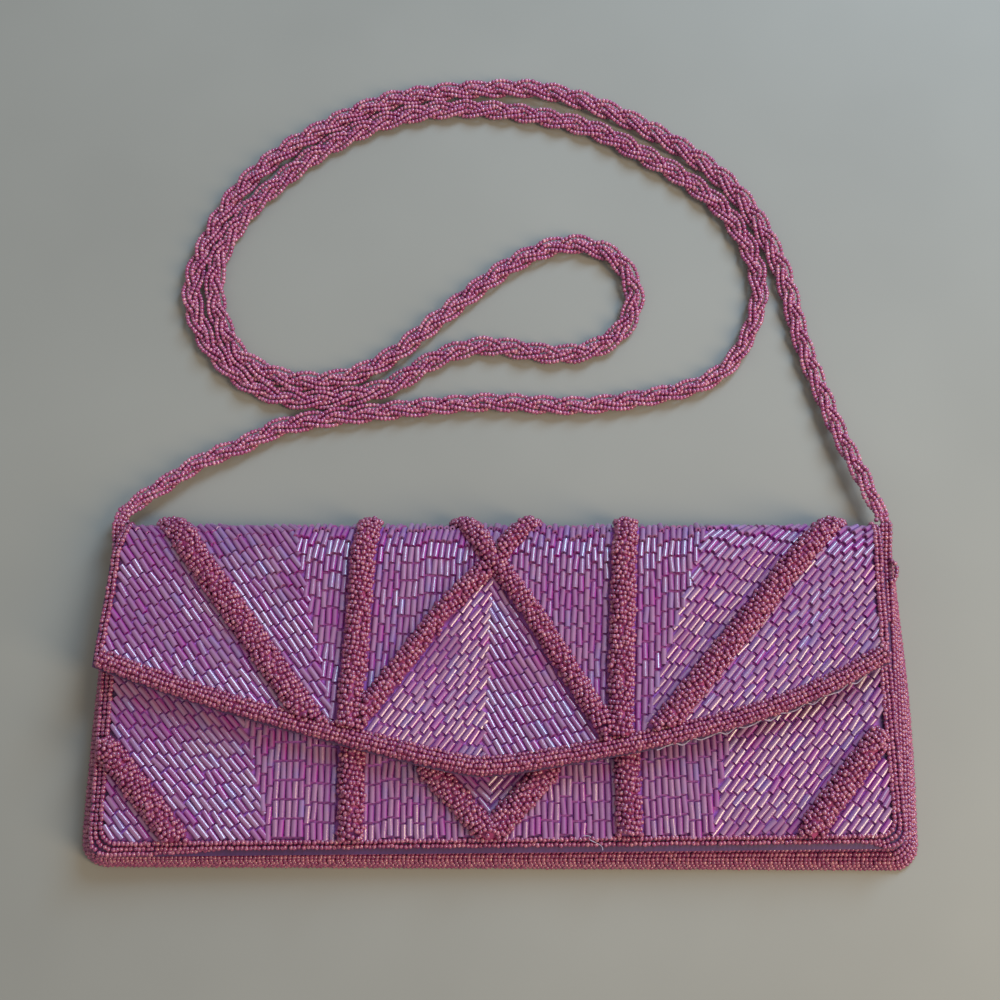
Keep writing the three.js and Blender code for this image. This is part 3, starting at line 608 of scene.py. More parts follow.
def front_cloth():
    rim = np.linspace(0.94, 1, 8)
    across = np.concatenate([np.linspace(-1, -0.94, 8), np.linspace(-0.93, 0.93, 60), rim])
    distances = np.concatenate([[0], CORNER_STEPS, np.linspace(6, FRONT_TOP_EDGE - FRONT_BOTTOM, 40)])
    u = across[None] * (FRONT_HALF_WIDTH - corner_inset(distances))[:, None]
    v = FRONT_BOTTOM + np.repeat(distances[:, None], len(across), 1)
    # Painted light: the satin is painted brighter under the beads, for the light that comes through them.
    painted_bead_light = smooth(v - FRONT_BOTTOM, 4.0, 5.5) * smooth(FRONT_HALF_WIDTH - np.abs(u), 5.0, 7.0)
    outer, inner = front_point(u, v, SUNK - BEAD_LAYER), front_point(u, v, -WALL)
    obj = sheet_object("front_satin", outer, inner, SATIN, painted_bead_light)
    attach(obj, "root")
    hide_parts("front_panel")


def gusset_cloth():
    grid = np.meshgrid(np.linspace(0, GUSSET_STATIONS - 1, 260), np.linspace(0, 1, 9))
    outer = gusset_point(*grid, -GUSSET_SUNK)
    obj = sheet_object("gusset_satin", outer, gusset_point(*grid, -GUSSET_THICKNESS), SATIN)
    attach(obj, "root")
    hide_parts("gusset")


# Bugle fields

BARE = 0.5  # cloth that may show at the end of a column
SHORTEST = 1.1
BUGLE_STRAY = 0.05
BUGLE_TURN = 2.2  # degrees
BUGLE_RISE = 0.07
BUGLE_TILT = 0.045
# How far a row strays from column to column, and how often it jumps by half a bugle
ROWS_UPRIGHT = (0.16, 0.3)
ROWS_SLANTED = (0.06, 0.06)
ROW_LEAN = {  # rows of slanted bugles: 0 lies square across them, 1 level, more climbs outward
    -1: {"outer": 0.3, "inner": 1.7, "diamond": 0.95, "front": 0.1},
    1: {"outer": 1.4, "inner": 0.8, "diamond": 0.85, "front": 1.5},
}


def columns_of(inside, under, angle, lean, box):
    """Bugles in columns along a direction, covering where inside(x, y) holds. Their ends may go on as far as
    under(x, y) holds. Each column is shifted against the one before by the lean of the rows. Returns the
    bugles' middles, directions and lengths."""
    along = np.array([math.cos(math.radians(angle)), math.sin(math.radians(angle))])
    across = np.array([-along[1], along[0]])
    (x0, y0), (x1, y1) = box
    corners = np.array([(x0, y0), (x1, y0), (x1, y1), (x0, y1)])
    reach = corners @ along
    t = np.arange(reach.min(), reach.max(), 0.1)
    spread = corners @ across
    middles = []
    offset = 0.0
    walk, brick = ROWS_UPRIGHT if angle == 90 else ROWS_SLANTED
    for o in np.arange(spread.min() + COLUMN_PITCH / 2, spread.max(), COLUMN_PITCH):
        offset += (rng.normal(0, walk) + (rng.random() < brick) * 0.5) * BUGLE_PITCH
        offset -= lean * COLUMN_PITCH * along[0] / along[1]
        points = t[:, None] * along + o * across
        held = inside(points[:, 0], points[:, 1])
        room = under(points[:, 0], points[:, 1]) | held
        edges = np.flatnonzero(np.diff(np.concatenate([[0], held.astype(int), [0]])))
        limits = np.flatnonzero(np.diff(np.concatenate([[0], room.astype(int), [0]])))
        for a, b in zip(edges[::2], edges[1::2]):
            first = np.searchsorted(limits[::2], a, side="right") - 1
            low, high = t[a], t[b - 1]
            lowest, highest = t[limits[2 * first]], t[limits[2 * first + 1] - 1]
            for middle, length in column_fill(low, high, lowest, highest, offset):
                middle = (middle + rng.normal(0, BUGLE_STRAY)) * along
                middle = middle + (o + rng.normal(0, BUGLE_STRAY)) * across
                middles.append((*middle, length / BUGLE_LENGTH))
    middles = np.array(middles).reshape(-1, 3)
    turn = np.radians(angle + rng.normal(0, BUGLE_TURN, len(middles)))
    return middles[:, :2], np.stack([np.cos(turn), np.sin(turn)], -1), middles[:, 2]


def column_fill(low, high, lowest, highest, offset):
    """The bugles of a column, as (middle, length). It shows from low to high, may reach from lowest to
    highest, and keeps to the rows of its neighbours, given by offset, where it can. A short bugle fills
    what is left over."""
    if high - low < BARE:
        return []
    room = highest - lowest
    count = math.ceil((high - low - BARE) / BUGLE_PITCH)
    total = count * BUGLE_PITCH - (BUGLE_PITCH - BUGLE_LENGTH)
    if total > room:
        count -= 1
        short = min(room - count * BUGLE_PITCH, BUGLE_LENGTH)
        sizes = [BUGLE_LENGTH] * count
        if short > SHORTEST:
            sizes.insert(int(rng.integers(0, count + 1)), short)
        start = lowest
    else:
        sizes = [BUGLE_LENGTH] * count
        least = max(lowest, high - BARE - total)
        most = min(low + BARE, highest - total)
        start = least + (offset - least) % BUGLE_PITCH
        if start > most:
            start = most if start - most < least + BUGLE_PITCH - start else least
    found = []
    for size in sizes:
        found.append((start + size / 2, size))
        start += size + BUGLE_PITCH - BUGLE_LENGTH
    return found


def spots_on(place, middles, ways, height):
    """Where beads lie on a surface: place maps pattern points and heights to space."""
    (x, y), (dx, dy) = middles.T, ways.T
    centre = place(x, y, height)
    dx, dy = NEARBY * dx, NEARBY * dy
    along = place(x + dx, y + dy, height) - place(x - dx, y - dy, height)
    aside = place(x - dy, y + dx, height) - place(x + dy, y - dx, height)
    return centre, unit(along), unit(np.cross(along, aside))


def along_line(line, run):
    return np.interp(run, line["run"], line["u"])


def slant_u(run, side):
    return along_line(SLANT_LINE, run) + side * SLANT_SHIFT


def cross_u(run, side):
    """How far out the crossing ridge lies that is on this side at this run."""
    leg, top = (OVER_LINE, UNDER_LINE) if side > 0 else (UNDER_LINE, OVER_LINE)
    return np.where(run > CROSSING_RUN, -along_line(top, run), along_line(leg, run))


HALF_RIDGE = RIDGE_WIDTH / 2
SLANT_HALF = HALF_RIDGE * 1.285
CROSS_HALF = CROSS_WIDTH / 2 * 1.25
SLANT_ANGLE = math.degrees(math.atan2(82.0, 66.16))
CROSS_ANGLE = {1: math.degrees(math.atan2(38.5, 25.7)), -1: math.degrees(math.atan2(38.5, 27.1))}
SWAY = 0.1  # slow rise and dip of the cloth under the bugles, as a slope
SWAY_RUNS = (9, 23, 5, 19)
UPRIGHT_SWAY = 0.45  # the share of it that the upright bugles take
UPRIGHT_DIP = 0.05  # the upright bugles' lower ends lie a little higher
# The padding rounds off toward the fold; past it the bugles lie deeper, with their front ends drawn in
FLAP_BEND = {"run": (10.0, 46.0, APEX_RUN - 2.5, APEX_RUN + 1.0), "slope": (0.0, -0.11, -0.11, 0.15)}
FOLD_TUCK = 0.75
FLAP_INSET = 3.3  # the bugles keep this far from the flap's sides
UNDER_BORDER = 0.2  # and go this far under its border


def on_flap(p, run, side, tuck=0.0):
    u = side * p + FLAP_PATTERN_SHIFT
    below = flap_edge(u) + BORDER_WIDTH - UNDER_BORDER - 0.5 * tuck
    return (run > below) & (run < BEADED_TO + tuck) & (np.abs(u) < wrap_half(run) - FLAP_INSET + 0.4 * tuck)


def flap_fields(side):
    """The flap's fields on one side: a test of pattern points with a reach under the ridges, the bugles'
    direction, the lean of their rows, and a box that holds the field."""
    slant = lambda r: slant_u(r, side)
    split = lambda r: along_line(FLAP_SPLIT, r) + side * SLANT_SHIFT
    cross = lambda r: cross_u(r, side)
    low = lambda r: r < CROSSING_RUN
    lean = ROW_LEAN[side]
    return (
        (lambda p, r, t: p > slant(r) + SLANT_HALF - t, SLANT_ANGLE, lean["outer"], ((40, -20), (120, 62))),
        (lambda p, r, t: (p < slant(r) - SLANT_HALF + t) & (p > split(r) - 0.2 * t), SLANT_ANGLE,
         lean["inner"], ((40, -20), (114, 62))),
        (lambda p, r, t: (p < np.minimum(split(r) + 0.2 * t, slant(r) - SLANT_HALF + t))
         & (p > UPRIGHT_U + HALF_RIDGE - t), 90.0, 0, ((40, -20), (72, 62))),
        (lambda p, r, t: (p < UPRIGHT_U - HALF_RIDGE + t) & (p > cross(r) + CROSS_HALF - t), 90.0, 0,
         ((0, -20), (40, 62))),
        (lambda p, r, t: (p > -0.2 * t) & (p < cross(r) - CROSS_HALF + t) & low(r), 180 - CROSS_ANGLE[side],
         lean["diamond"], ((-2, -22), (40, 36))),
        (lambda p, r, t: (p > 0.1) & (p < cross(r) - CROSS_HALF + t) & ~low(r), 90.0, 0,
         ((0, 38), (14, 62))),
    )


def field_spots(place, fields, held, side, bend=None):
    """The bugles of several fields, laid on a surface, and their lengths as shares."""
    found = []
    for test, angle, lean, box in fields:
        inside = lambda x, y, test=test: test(x, y, TUCK_SHOWN) & held(x, y, side)
        under = lambda x, y, test=test: test(x, y, TUCK) & held(x, y, side, TUCK)
        middles, ways, lengths = columns_of(inside, under, angle, lean, box)
        found.append((middles * (side, 1), ways * (side, 1), lengths))
    middles, ways, lengths = join(found)
    height = -BUGLE_RADIUS + rng.normal(0, BUGLE_RISE, len(middles))
    if bend:
        height = height - FOLD_TUCK * smooth(middles[:, 1], APEX_RUN - 3.5, APEX_RUN + 0.5)
    spots, along, up = spots_on(place, middles, ways, height)
    (x, y), (a, b, c, d) = middles.T, SWAY_RUNS
    wave = SWAY * np.sin(x / a + y / b) * np.cos(y / c - x / d)
    wave = np.where(np.abs(ways[:, 0]) > 0.3, wave, UPRIGHT_SWAY * wave - UPRIGHT_DIP)
    tilt = wave + rng.normal(0, BUGLE_TILT, len(middles))
    if bend:
        tilt = tilt + ways[:, 1] * np.interp(y, bend["run"], bend["slope"])
    return (spots, along + up * tilt[:, None], up), lengths


def bugles(panel, place, fields, held, bend=None):
    for word, side in SIDES:
        spots, lengths = field_spots(place, fields(side), held, side, bend)
        bead_object(f"{panel}_bugles_{word}", BUGLE, spots, BUGLE_GLASS, stretch=lengths,
                    roll=True)


CORNER_ANGLE = math.degrees(math.atan2(26.0, 22.0))
CORNER_HALF = HALF_RIDGE * 1.31
CHEVRON_HALF = HALF_RIDGE * 1.36
CHEVRON_ANGLE = math.degrees(math.atan2(1.0, CHEVRON_SLOPE))
FRONT_INSET = 4.5
FRONT_HIDDEN = 7.0  # the front's bugles go on this far under the flap
FLAP_OVER_FRONT = 105.0  # half the width in which they follow the flap's edge


def on_front(q, v, side, tuck=0.0):
    u = side * q + FRONT_PATTERN_SHIFT
    low = v - FRONT_BOTTOM - FRONT_INSET
    wide = FRONT_HALF_WIDTH - FRONT_INSET - np.abs(u)
    high = flap_edge(np.clip(u, -FLAP_OVER_FRONT, FLAP_OVER_FRONT)) + FRONT_HIDDEN + 2 * tuck
    rim = -0.45 * tuck
    return (low > rim) & (wide > rim) & (low + wide > 2 * (1 + rim)) & (v < high)


def front_fields(side):
    split = lambda v: np.interp(v, FRONT_SPLIT["v"], FRONT_SPLIT["u"])
    chevron = lambda v: CHEVRON_SLOPE * (v - CHEVRON_APEX)
    (ox, oy), (ix, iy) = CORNER_RIDGE["outer"], CORNER_RIDGE["inner"]
    corner = lambda v: ix + (v - iy) * (ox - ix) / (oy - iy) + side * CORNER_RIDGE["shift"]
    lean = ROW_LEAN[side]["front"]
    return (
        (lambda q, v, t: q > corner(v) + CORNER_HALF - t, CORNER_ANGLE, lean, ((80, -46), (120, 5))),
        (lambda q, v, t: (q < corner(v) - CORNER_HALF + t) & (q > split(v) - 0.2 * t), CORNER_ANGLE, lean,
         ((55, -46), (120, 16))),
        (lambda q, v, t: (q < split(v) + 0.2 * t) & (q > FRONT_UPRIGHT + HALF_RIDGE - t), 90.0, 0,
         ((40, -46), (80, 5))),
        (lambda q, v, t: (q < FRONT_UPRIGHT - HALF_RIDGE + t) & (q > chevron(v) + CHEVRON_HALF - t)
         & (q > 0.1), 90.0, 0, ((0, -46), (40, 0))),
        (lambda q, v, t: (q > -0.2 * t) & (q < chevron(v) - CHEVRON_HALF + t), CHEVRON_ANGLE, 1,
         ((-2, -40), (26, -10))),
    )


# Ridges

RIDGE_FOOT = -0.2  # height of the lowest beads' middles
RIDGE_BEADS = 8
ROW_PITCH = 1.46
ROW_SLANT = 0.2
ROW_STAGGER = 0.12
FIRST_BEAD = 0.25  # its place in the row, in beads from the ridge's side
ANGLE_STRAY = 0.03
ANGLE_NEARBY = 0.05
SIDE_TO_BEAD = 0.65  # from a ridge's side and crest to the middles of the beads there
CREST_TO_BEAD = 0.75
FIRST_ROW = 0.62  # size of a round end's first row
ROW_GROWTH = 0.2
NO_ROUND_END = 99  # rows that are counted as before or after an end that isn't round
RIDGE_STRAY = 0.2
RIDGE_TURN = 0.4
RIDGE_SIZES = 0.08
CORE_UNDER = 0.3  # the core keeps this far inside the beads
RIDGE_FILL_SIDES = 11
CORNER_RUN_OUT = 3.2  # the corner ridges' last beads run out this far into the border
CORNER_WAY = (0.65, 0.76)  # outward along a corner ridge
RIDGE_LOW = {"slant": -12.5, "upright": -16.5, "over": -14.0, "under": -12.0, "front": -42.2}
RIDGE_UNDER_FLAP = {"upright": 4.0, "chevron": 6.0}
RIDGE_OVERLAP = 0.4  # a ridge's beads go on this far into the ridge that it meets
CROSSING_GAP = 0.5
TOUCH = 0.1  # and this far past the border's edge
RIM_ROWS_WIDTH = 4.2
RIM_ROW_INSET = 1.4


def resample(points, pitch):
    """Points along a line at an even pitch, with their directions."""
    length = lengths_along(points)
    count = max(2, int(round(length[-1] / pitch)) + 1)
    at = np.linspace(0, length[-1], count)
    nudge = min(0.3, length[-1] / 10)
    ahead = between(np.minimum(at + nudge, length[-1]), length, points)
    behind = between(np.maximum(at - nudge, 0), length, points)
    return between(at, length, points), unit(ahead - behind)


def ridge_section(place, centre, way, angle, wide, high, foot):
    """A point of a ridge's round section, at an angle from its one side over the crest to the other."""
    across = np.stack([-way[..., 1], way[..., 0]], -1)
    side = (np.cos(angle) * wide)[..., None]
    shift = way * side * ROW_SLANT
    flat = centre + across * side + shift
    return place(flat[..., 0], flat[..., 1], foot + np.sin(angle) * high), flat


def ridge(name, place, path, keep, round_ends=(True, True), width=RIDGE_WIDTH):
    """A padded ridge along a line of the pattern: a cloth core and rows of seed beads wrapped over it."""
    path = np.asarray(path, float)
    centre, way = resample(path, ROW_PITCH)
    rows = len(centre)
    counts = np.arange(rows)
    before, after = (0 if round_end else NO_ROUND_END for round_end in round_ends)
    size = np.clip(FIRST_ROW + ROW_GROWTH * np.minimum(counts + before, counts[::-1] + after), 0, 1)
    fold = 1 + (RIDGE_FOLD_SHARE - 1) * smooth(centre[:, 1], FOLD_Y, APEX_RUN + RIDGE_PAST_FOLD)
    wide = (width / 2 - SIDE_TO_BEAD) * size
    high = (RIDGE_TOP * fold - RIDGE_FOOT - CREST_TO_BEAD) * size
    beads = RIDGE_BEADS if width == RIDGE_WIDTH else RIDGE_BEADS - 1
    k = np.arange(beads)
    stagger = 0.5 * (counts % 2)[:, None] + rng.normal(0, ROW_STAGGER, (rows, 1))
    angle = np.pi * (k[None] + FIRST_BEAD + stagger) / beads
    angle = angle + rng.normal(0, ANGLE_STRAY, angle.shape)
    shape = lambda a, w=0.0: ridge_section(place, centre[:, None], way[:, None], a, (wide + w)[:, None],
                                           (high + w)[:, None], RIDGE_FOOT)
    spots, flat = shape(angle)
    held = keep(flat[..., 0], flat[..., 1])
    along = shape(angle + ANGLE_NEARBY)[0] - shape(angle - ANGLE_NEARBY)[0]
    up = shape(angle, NEARBY)[0] - spots
    along = along + rng.normal(0, RIDGE_TURN, along.shape) * np.linalg.norm(along, axis=-1, keepdims=True)
    spots = spots + rng.normal(0, RIDGE_STRAY, spots.shape)
    chosen = spots[held], along[held], up[held]
    grow = rng.normal(1, RIDGE_SIZES, held.sum())
    bead_object(f"{name}_beads", SEED, chosen, SEED_GLASS, grow=grow)
    turn = np.linspace(0, np.pi, RIDGE_FILL_SIDES)
    core_rows = counts[keep(centre[:, 0], centre[:, 1])][1::2]
    core_high = high[core_rows] + RIDGE_FOOT + BEAD_LAYER - CORE_UNDER
    core = ridge_section(place, centre[core_rows, None], way[core_rows, None], turn[None],
                         (wide[core_rows] - CORE_UNDER)[:, None], core_high[:, None], -BEAD_LAYER)[0]
    inner = roll_object(f"{name}_core", core, PADDING)
    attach(inner, "root")
    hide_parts(name)


def clear_of_border(p, run):
    u = p + FLAP_PATTERN_SHIFT
    return run > flap_edge(u) + BORDER_WIDTH - TOUCH


def flap_ridges():
    top = APEX_RUN + RIDGE_PAST_FOLD
    aside = lambda p, run: clear_of_border(p, run) & (np.abs(p) > UPRIGHT_U + HALF_RIDGE - RIDGE_OVERLAP)
    within = lambda p, run: clear_of_border(p, run) & (np.abs(p) < UPRIGHT_U - HALF_RIDGE + RIDGE_OVERLAP)
    over = lambda run: along_line(OVER_LINE, run)
    under = lambda run: -along_line(UNDER_LINE, run)
    beyond = lambda p, run: np.abs(p - over(run)) > CROSS_HALF - TOUCH
    free_leg = lambda p, run: within(p, run) & beyond(p, run)
    low = RIDGE_LOW

    def lay(name, line, start, stop, keep, round_ends=(True, False), width=RIDGE_WIDTH):
        run = np.linspace(start, stop, 120)
        ridge(f"flap_ridge_{name}", flap_place, np.stack([line(run), run], -1), keep, round_ends, width)

    for word, side in SIDES:
        upright = lambda run: np.full_like(run, side * UPRIGHT_U)
        lay(f"{word}_slant", lambda run: side * slant_u(run, side), top, low["slant"], aside)
        lay(f"{word}_upright", upright, top, low["upright"], clear_of_border)
    lay("cross_over", over, top, low["over"], within, width=CROSS_WIDTH)
    lay("cross_under_top", under, top, CROSSING_RUN + CROSSING_GAP, beyond, width=CROSS_WIDTH)
    lay("cross_under_leg", under, CROSSING_RUN - CROSSING_GAP, low["under"], free_leg, (False, False),
        CROSS_WIDTH)


def front_ridges():
    free = lambda q, v: v > FRONT_BOTTOM + RIM_ROWS_WIDTH
    inside = lambda q, v: free(q, v) & (np.abs(q + FRONT_PATTERN_SHIFT) < FRONT_HALF_WIDTH - RIM_ROW_INSET)
    (ox, oy), (ix, iy), shift = (CORNER_RIDGE[k] for k in ("outer", "inner", "shift"))
    ox, oy = ox + CORNER_RUN_OUT * CORNER_WAY[0], oy + CORNER_RUN_OUT * CORNER_WAY[1]
    for word, side in SIDES:
        upright = side * FRONT_UPRIGHT
        top = float(flap_edge(upright)) + RIDGE_UNDER_FLAP["upright"]
        path = [(upright, RIDGE_LOW["front"]), (upright, top)]
        ridge(f"front_ridge_{word}_upright", front_place, path, free, (False, True))
        path = [(side * ox + shift, oy), (side * ix + shift, iy)]
        ridge(f"front_ridge_{word}_corner", front_place, path, inside)
    top = float(flap_edge(0.0)) + RIDGE_UNDER_FLAP["chevron"]
    reach = CHEVRON_SLOPE * (top - CHEVRON_APEX)
    bend = np.linspace(-1, 1, 81)
    rise = np.hypot(bend, CHEVRON_SOFTNESS) - CHEVRON_SOFTNESS
    path = np.stack([bend * reach, CHEVRON_APEX + rise * (top - CHEVRON_APEX)], -1)
    ridge("front_ridge_chevron", front_place, path, free)


# Borders and gusset

STRUNG_STRAY = 0.05
STRUNG_TURN = 0.1
# Inset from the flap's edge, height, and how far outward the beads face
FLAP_BORDER_ROWS = ((1.05, -0.9, 1.0), (1.5, 0.35, 0), (2.75, 1.0, 0), (4.05, 0.75, 0), (5.2, -0.2, 0))
FLAP_SIDE_ROWS = ((0.85, -0.95), (2.3, -0.35))  # inset, height
BORDER_CORE = {"inset": 2.9, "half": 2.3, "height": 2.2}
HEM = {"past": 0.9, "inset": 3.4, "height": -0.85, "facing": 0.2}
RIM_THREAD = {"from": 48.0, "to": 108.0, "waves": (6.3, 4.1), "radius": 0.2}
STRAY_THREAD = {"start": (24.0, 4.5), "reach": (5.0, -4.0), "radius": 0.1}
# Inset from the front's rim, depth, and how far the row goes along the bottom at the left and right
FRONT_BORDER_ROWS = ((0.5, 2.2, 14.0, 5.0), (0.7, 0.85, 32.0, 5.0),
                     (2.15, 0.85, None, None), (3.6, 0.35, None, None))
ROW_CLIMB = 1.3  # a row that ends on the bottom climbs this much there
ROW_SINK = 0.8  # and sinks this much
GUSSET_ROWS = 7
GUSSET_ROW_SPAN = (0.12, 0.84)  # the lowest row's place up the band, and the rows' reach
GUSSET_END_STATIONS = 40
GUSSET_END_INSETS = (0.5, 1.8, 3.0)
GUSSET_BEAD = {"height": -0.75, "facing": 0.2}
BEAD_LOOP = {"middle": (116.4, 35.2, 8.2), "along": (0.2, 3.2, 0), "out": (1.9, 0, 0.5)}


def strung(centre, outer, pitch=SEED_PITCH, wobble=0.06):
    """Beads threaded along a dense line of points; outer is the same line a little further out."""
    length = lengths_along(centre)
    at = np.arange(pitch / 2, length[-1], pitch)
    at = at + rng.normal(0, STRUNG_STRAY, len(at))
    found, above = between(at, length, centre), between(at, length, outer)
    along = between(at + NEARBY, length, centre) - between(at - NEARBY, length, centre)
    spots = found + rng.normal(0, wobble, (len(at), 3))
    along = unit(along) + rng.normal(0, STRUNG_TURN, along.shape)
    return spots, along, above - found


def join(parts):
    return tuple(np.concatenate(a) for a in zip(*parts))


def seeds(name, rows):
    bead_object(name, SEED, join(rows), SEED_GLASS)


def flap_border():
    u = np.linspace(-FLAP_HALF_WIDTH + 0.6, FLAP_HALF_WIDTH - 0.6, 700)
    slope = np.gradient(flap_edge(u), u)
    inward = unit(np.stack([-slope, np.ones_like(slope)], -1))
    rows = []
    for inset, height, outward in FLAP_BORDER_ROWS:
        x, y = u + inward[:, 0] * inset, flap_edge(u) + inward[:, 1] * inset
        x = np.clip(x, -FLAP_HALF_WIDTH + 0.7, FLAP_HALF_WIDTH - 0.7)
        rows.append(strung(wrap_point(x, y, height), wrap_point(x, y - outward, height + 1.0), wobble=0.12))
    seeds("flap_border_beads", rows)
    turn = np.linspace(0, np.pi, 9)
    u, inward = u[::6], inward[::6]
    middle = np.stack([u, flap_edge(u)], -1) + inward * BORDER_CORE["inset"]
    side = np.cos(turn) * BORDER_CORE["half"]
    flat = middle[:, None] + inward[:, None] * side[None, :, None]
    height = -BEAD_LAYER + BORDER_CORE["height"] * np.sin(turn)
    core = roll_object("flap_border_core", wrap_point(flat[..., 0], flat[..., 1], height[None]), PADDING)
    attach(core, "root")
    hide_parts("flap_border")


def flap_sides():
    """Two rows of seeds up each side of the flap and over the fold, and a hem row behind the fold."""
    rows = []
    for _, side in SIDES:
        run = np.linspace(float(flap_edge(side * FLAP_HALF_WIDTH)) + 0.4, FOLD_END - 8, 400)
        for inset, height in FLAP_SIDE_ROWS:
            edge = side * (wrap_half(run) - inset)
            rows.append(strung(wrap_point(edge, run, height), wrap_point(edge, run, height + 1), wobble=0.1))
    seeds("flap_side_beads", rows)
    x = np.linspace(-FOLD_HALF_WIDTH + HEM["inset"], FOLD_HALF_WIDTH - HEM["inset"], 500)
    line, outer = (wrap_point(x, BEADED_TO + HEM["past"], HEM[k]) for k in ("height", "facing"))
    seeds("fold_hem_beads", [strung(line, outer)])


def thread_tube(name, line, radius, sides=6):
    """A thin round thread along a line of points."""
    way = unit(np.gradient(line, axis=0))
    side = unit(np.cross(way, (0, 0, 1.0)))
    lift = np.cross(side, way)
    turn = 2 * np.pi * np.arange(sides)[:, None] / sides
    loops = line[:, None] + radius * (side[:, None] * np.cos(turn) + lift[:, None] * np.sin(turn))
    obj = roll_object(name, loops, THREAD)
    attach(obj, "root")


def rim_stitches():
    """The thread that shows along the right half of the flap's rim, and a stray end low on the front."""
    u = np.linspace(RIM_THREAD["from"], RIM_THREAD["to"], 420)
    long, short = RIM_THREAD["waves"]
    wave = np.sin(2 * np.pi * u / long) + 0.4 * np.sin(2 * np.pi * u / short + 1.0)
    line = wrap_point(u, flap_edge(u) + 0.1 + 0.42 * wave, -1.15 + 0.25 * wave)
    thread_tube("rim_thread", line, RIM_THREAD["radius"])
    t = np.linspace(0, 1, 60)
    (u, v), (du, dv) = STRAY_THREAD["start"], STRAY_THREAD["reach"]
    u, v = u + du * t + 0.8 * np.sin(9 * t), FRONT_BOTTOM + v + dv * t**2
    thread_tube("stray_thread", front_point(u, v, 0.5 + 0.6 * np.sin(6 * t)), STRAY_THREAD["radius"])


def front_border():
    """Rows of seeds round the front's rim. The lowest and the outermost go down the sides and a little way
    along the bottom, further on the left."""
    rows = []
    turn = np.linspace(0, np.pi / 2, 20)
    turn_in, turn_up = CORNER_RADIUS * (1 - np.cos(turn)), CORNER_RADIUS * (1 - np.sin(turn))
    for inset, drop, along_left, along_right in FRONT_BORDER_ROWS:
        half, low = FRONT_HALF_WIDTH - inset, FRONT_BOTTOM + inset
        down = np.stack([np.full(120, half), np.linspace(20.0, low + CORNER_RADIUS, 120)], -1)
        bend = np.stack([half - turn_in, low + turn_up], -1)
        right = np.concatenate([down, bend[1:]])
        left = right * (-1, 1)
        foot = half - CORNER_RADIUS
        if along_left:
            t = np.linspace(0, 1, 80)[1:]
            level = lambda length, side: np.stack([side * (foot - length * t), low + ROW_CLIMB * t**2], -1)
            lines = [np.concatenate([left, level(along_left, -1)])]
            lines.append(np.concatenate([right, level(along_right, 1)]))
        else:
            bottom = np.stack([np.linspace(-foot, foot, 400), np.full(400, low)], -1)
            lines = [np.concatenate([left, bottom[1:], right[::-1][1:]])]
        for x, y in (line.T for line in lines):
            height = -drop
            if along_left:
                height = height - ROW_SINK * np.clip((y - low) / ROW_CLIMB, 0, 1) * (np.abs(x) < foot)
            rows.append(strung(front_point(x, y, height), front_point(x, y, height + 1.0), wobble=0.1))
    seeds("front_border_beads", rows)


def gusset_beads():
    station = np.linspace(0, GUSSET_STATIONS - 1, 1200)
    low, reach = GUSSET_ROW_SPAN
    rows = []
    for k in range(GUSSET_ROWS):
        t = low + reach * k / (GUSSET_ROWS - 1)
        line, outer = (gusset_point(station, t, GUSSET_BEAD[k]) for k in ("height", "facing"))
        rows.append(strung(line, outer, wobble=0.05))
    last = GUSSET_STATIONS - 1
    for start, stop in ((0, GUSSET_END_STATIONS), (last - GUSSET_END_STATIONS, last)):
        station = np.linspace(start, stop, 100)
        for inset in GUSSET_END_INSETS:
            line = gusset_point(station, 1.0, -inset) + (0, 0, 0.35)
            rows.append(strung(line, line + (0, 0, 1.0), wobble=0.05))
    turn = np.linspace(0, np.pi, 40)[:, None]
    loop = BEAD_LOOP["middle"] + np.cos(turn) * BEAD_LOOP["along"] + np.sin(turn) * BEAD_LOOP["out"]
    rows.append(strung(loop, loop + (0, 0, 1.0)))
    seeds("gusset_beads", rows)


# Strap

def laid_curve(route, per_span=40):
    """A smooth curve through the route's points that doesn't swing out beside short spans."""
    points = np.array([p if len(p) == 3 else (*p, STRAP_LAID) for p in route], float)
    before = np.concatenate([[2 * points[0] - points[1]], points, [2 * points[-1] - points[-2]]])
    t = np.linspace(0, 1, per_span, endpoint=False)[:, None]
    spans = []
    for p0, p1, p2, p3 in zip(before, before[1:], before[2:], before[3:]):
        d0, d1, d2 = (math.sqrt(np.linalg.norm(b - a)) for a, b in ((p0, p1), (p1, p2), (p2, p3)))
        m1 = ((p1 - p0) / d0 - (p2 - p0) / (d0 + d1) + (p2 - p1) / d1) * d1
        m2 = ((p2 - p1) / d1 - (p3 - p1) / (d1 + d2) + (p3 - p2) / d2) * d1
        square, cube = -3 * p1 + 3 * p2 - 2 * m1 - m2, 2 * p1 - 2 * p2 + m1 + m2
        spans.append(p1 + m1 * t + square * t**2 + cube * t**3)
    return np.concatenate([*spans, points[-1:]])


STRANDS = 3
STRINGS = 2
STRAP_STEP = 0.8
STRAP_PITCH = 1.27
BRAID_PERIOD = 28.0
BRAID_WIDE = 1.6
BRAID_HIGH = 0.8
STRING_GAP = 1.55
END_RUN = 16.0  # the braid draws in over this length at its ends
# Along the strap's length: how wide the braid opens, and how far it lies to the left of its route
LOOSENESS = (
    (0, 0.85), (30, 0.95), (60, 1.15), (130, 1.1), (160, 1.1), (215, 0.9), (245, 1.25), (300, 1.4),
    (335, 1.25), (400, 1.3), (470, 1.25), (560, 1.2), (620, 1.25), (700, 1.25), (760, 1.2), (850, 1.3),
    (960, 1.25), (1010, 1.35), (1060, 1.4), (1090, 1.25), (1115, 1.1), (1190, 0.85),
)
DRIFT = ((20, 0), (45, 1.0), (75, 1.3), (100, 0.4), (115, 0))


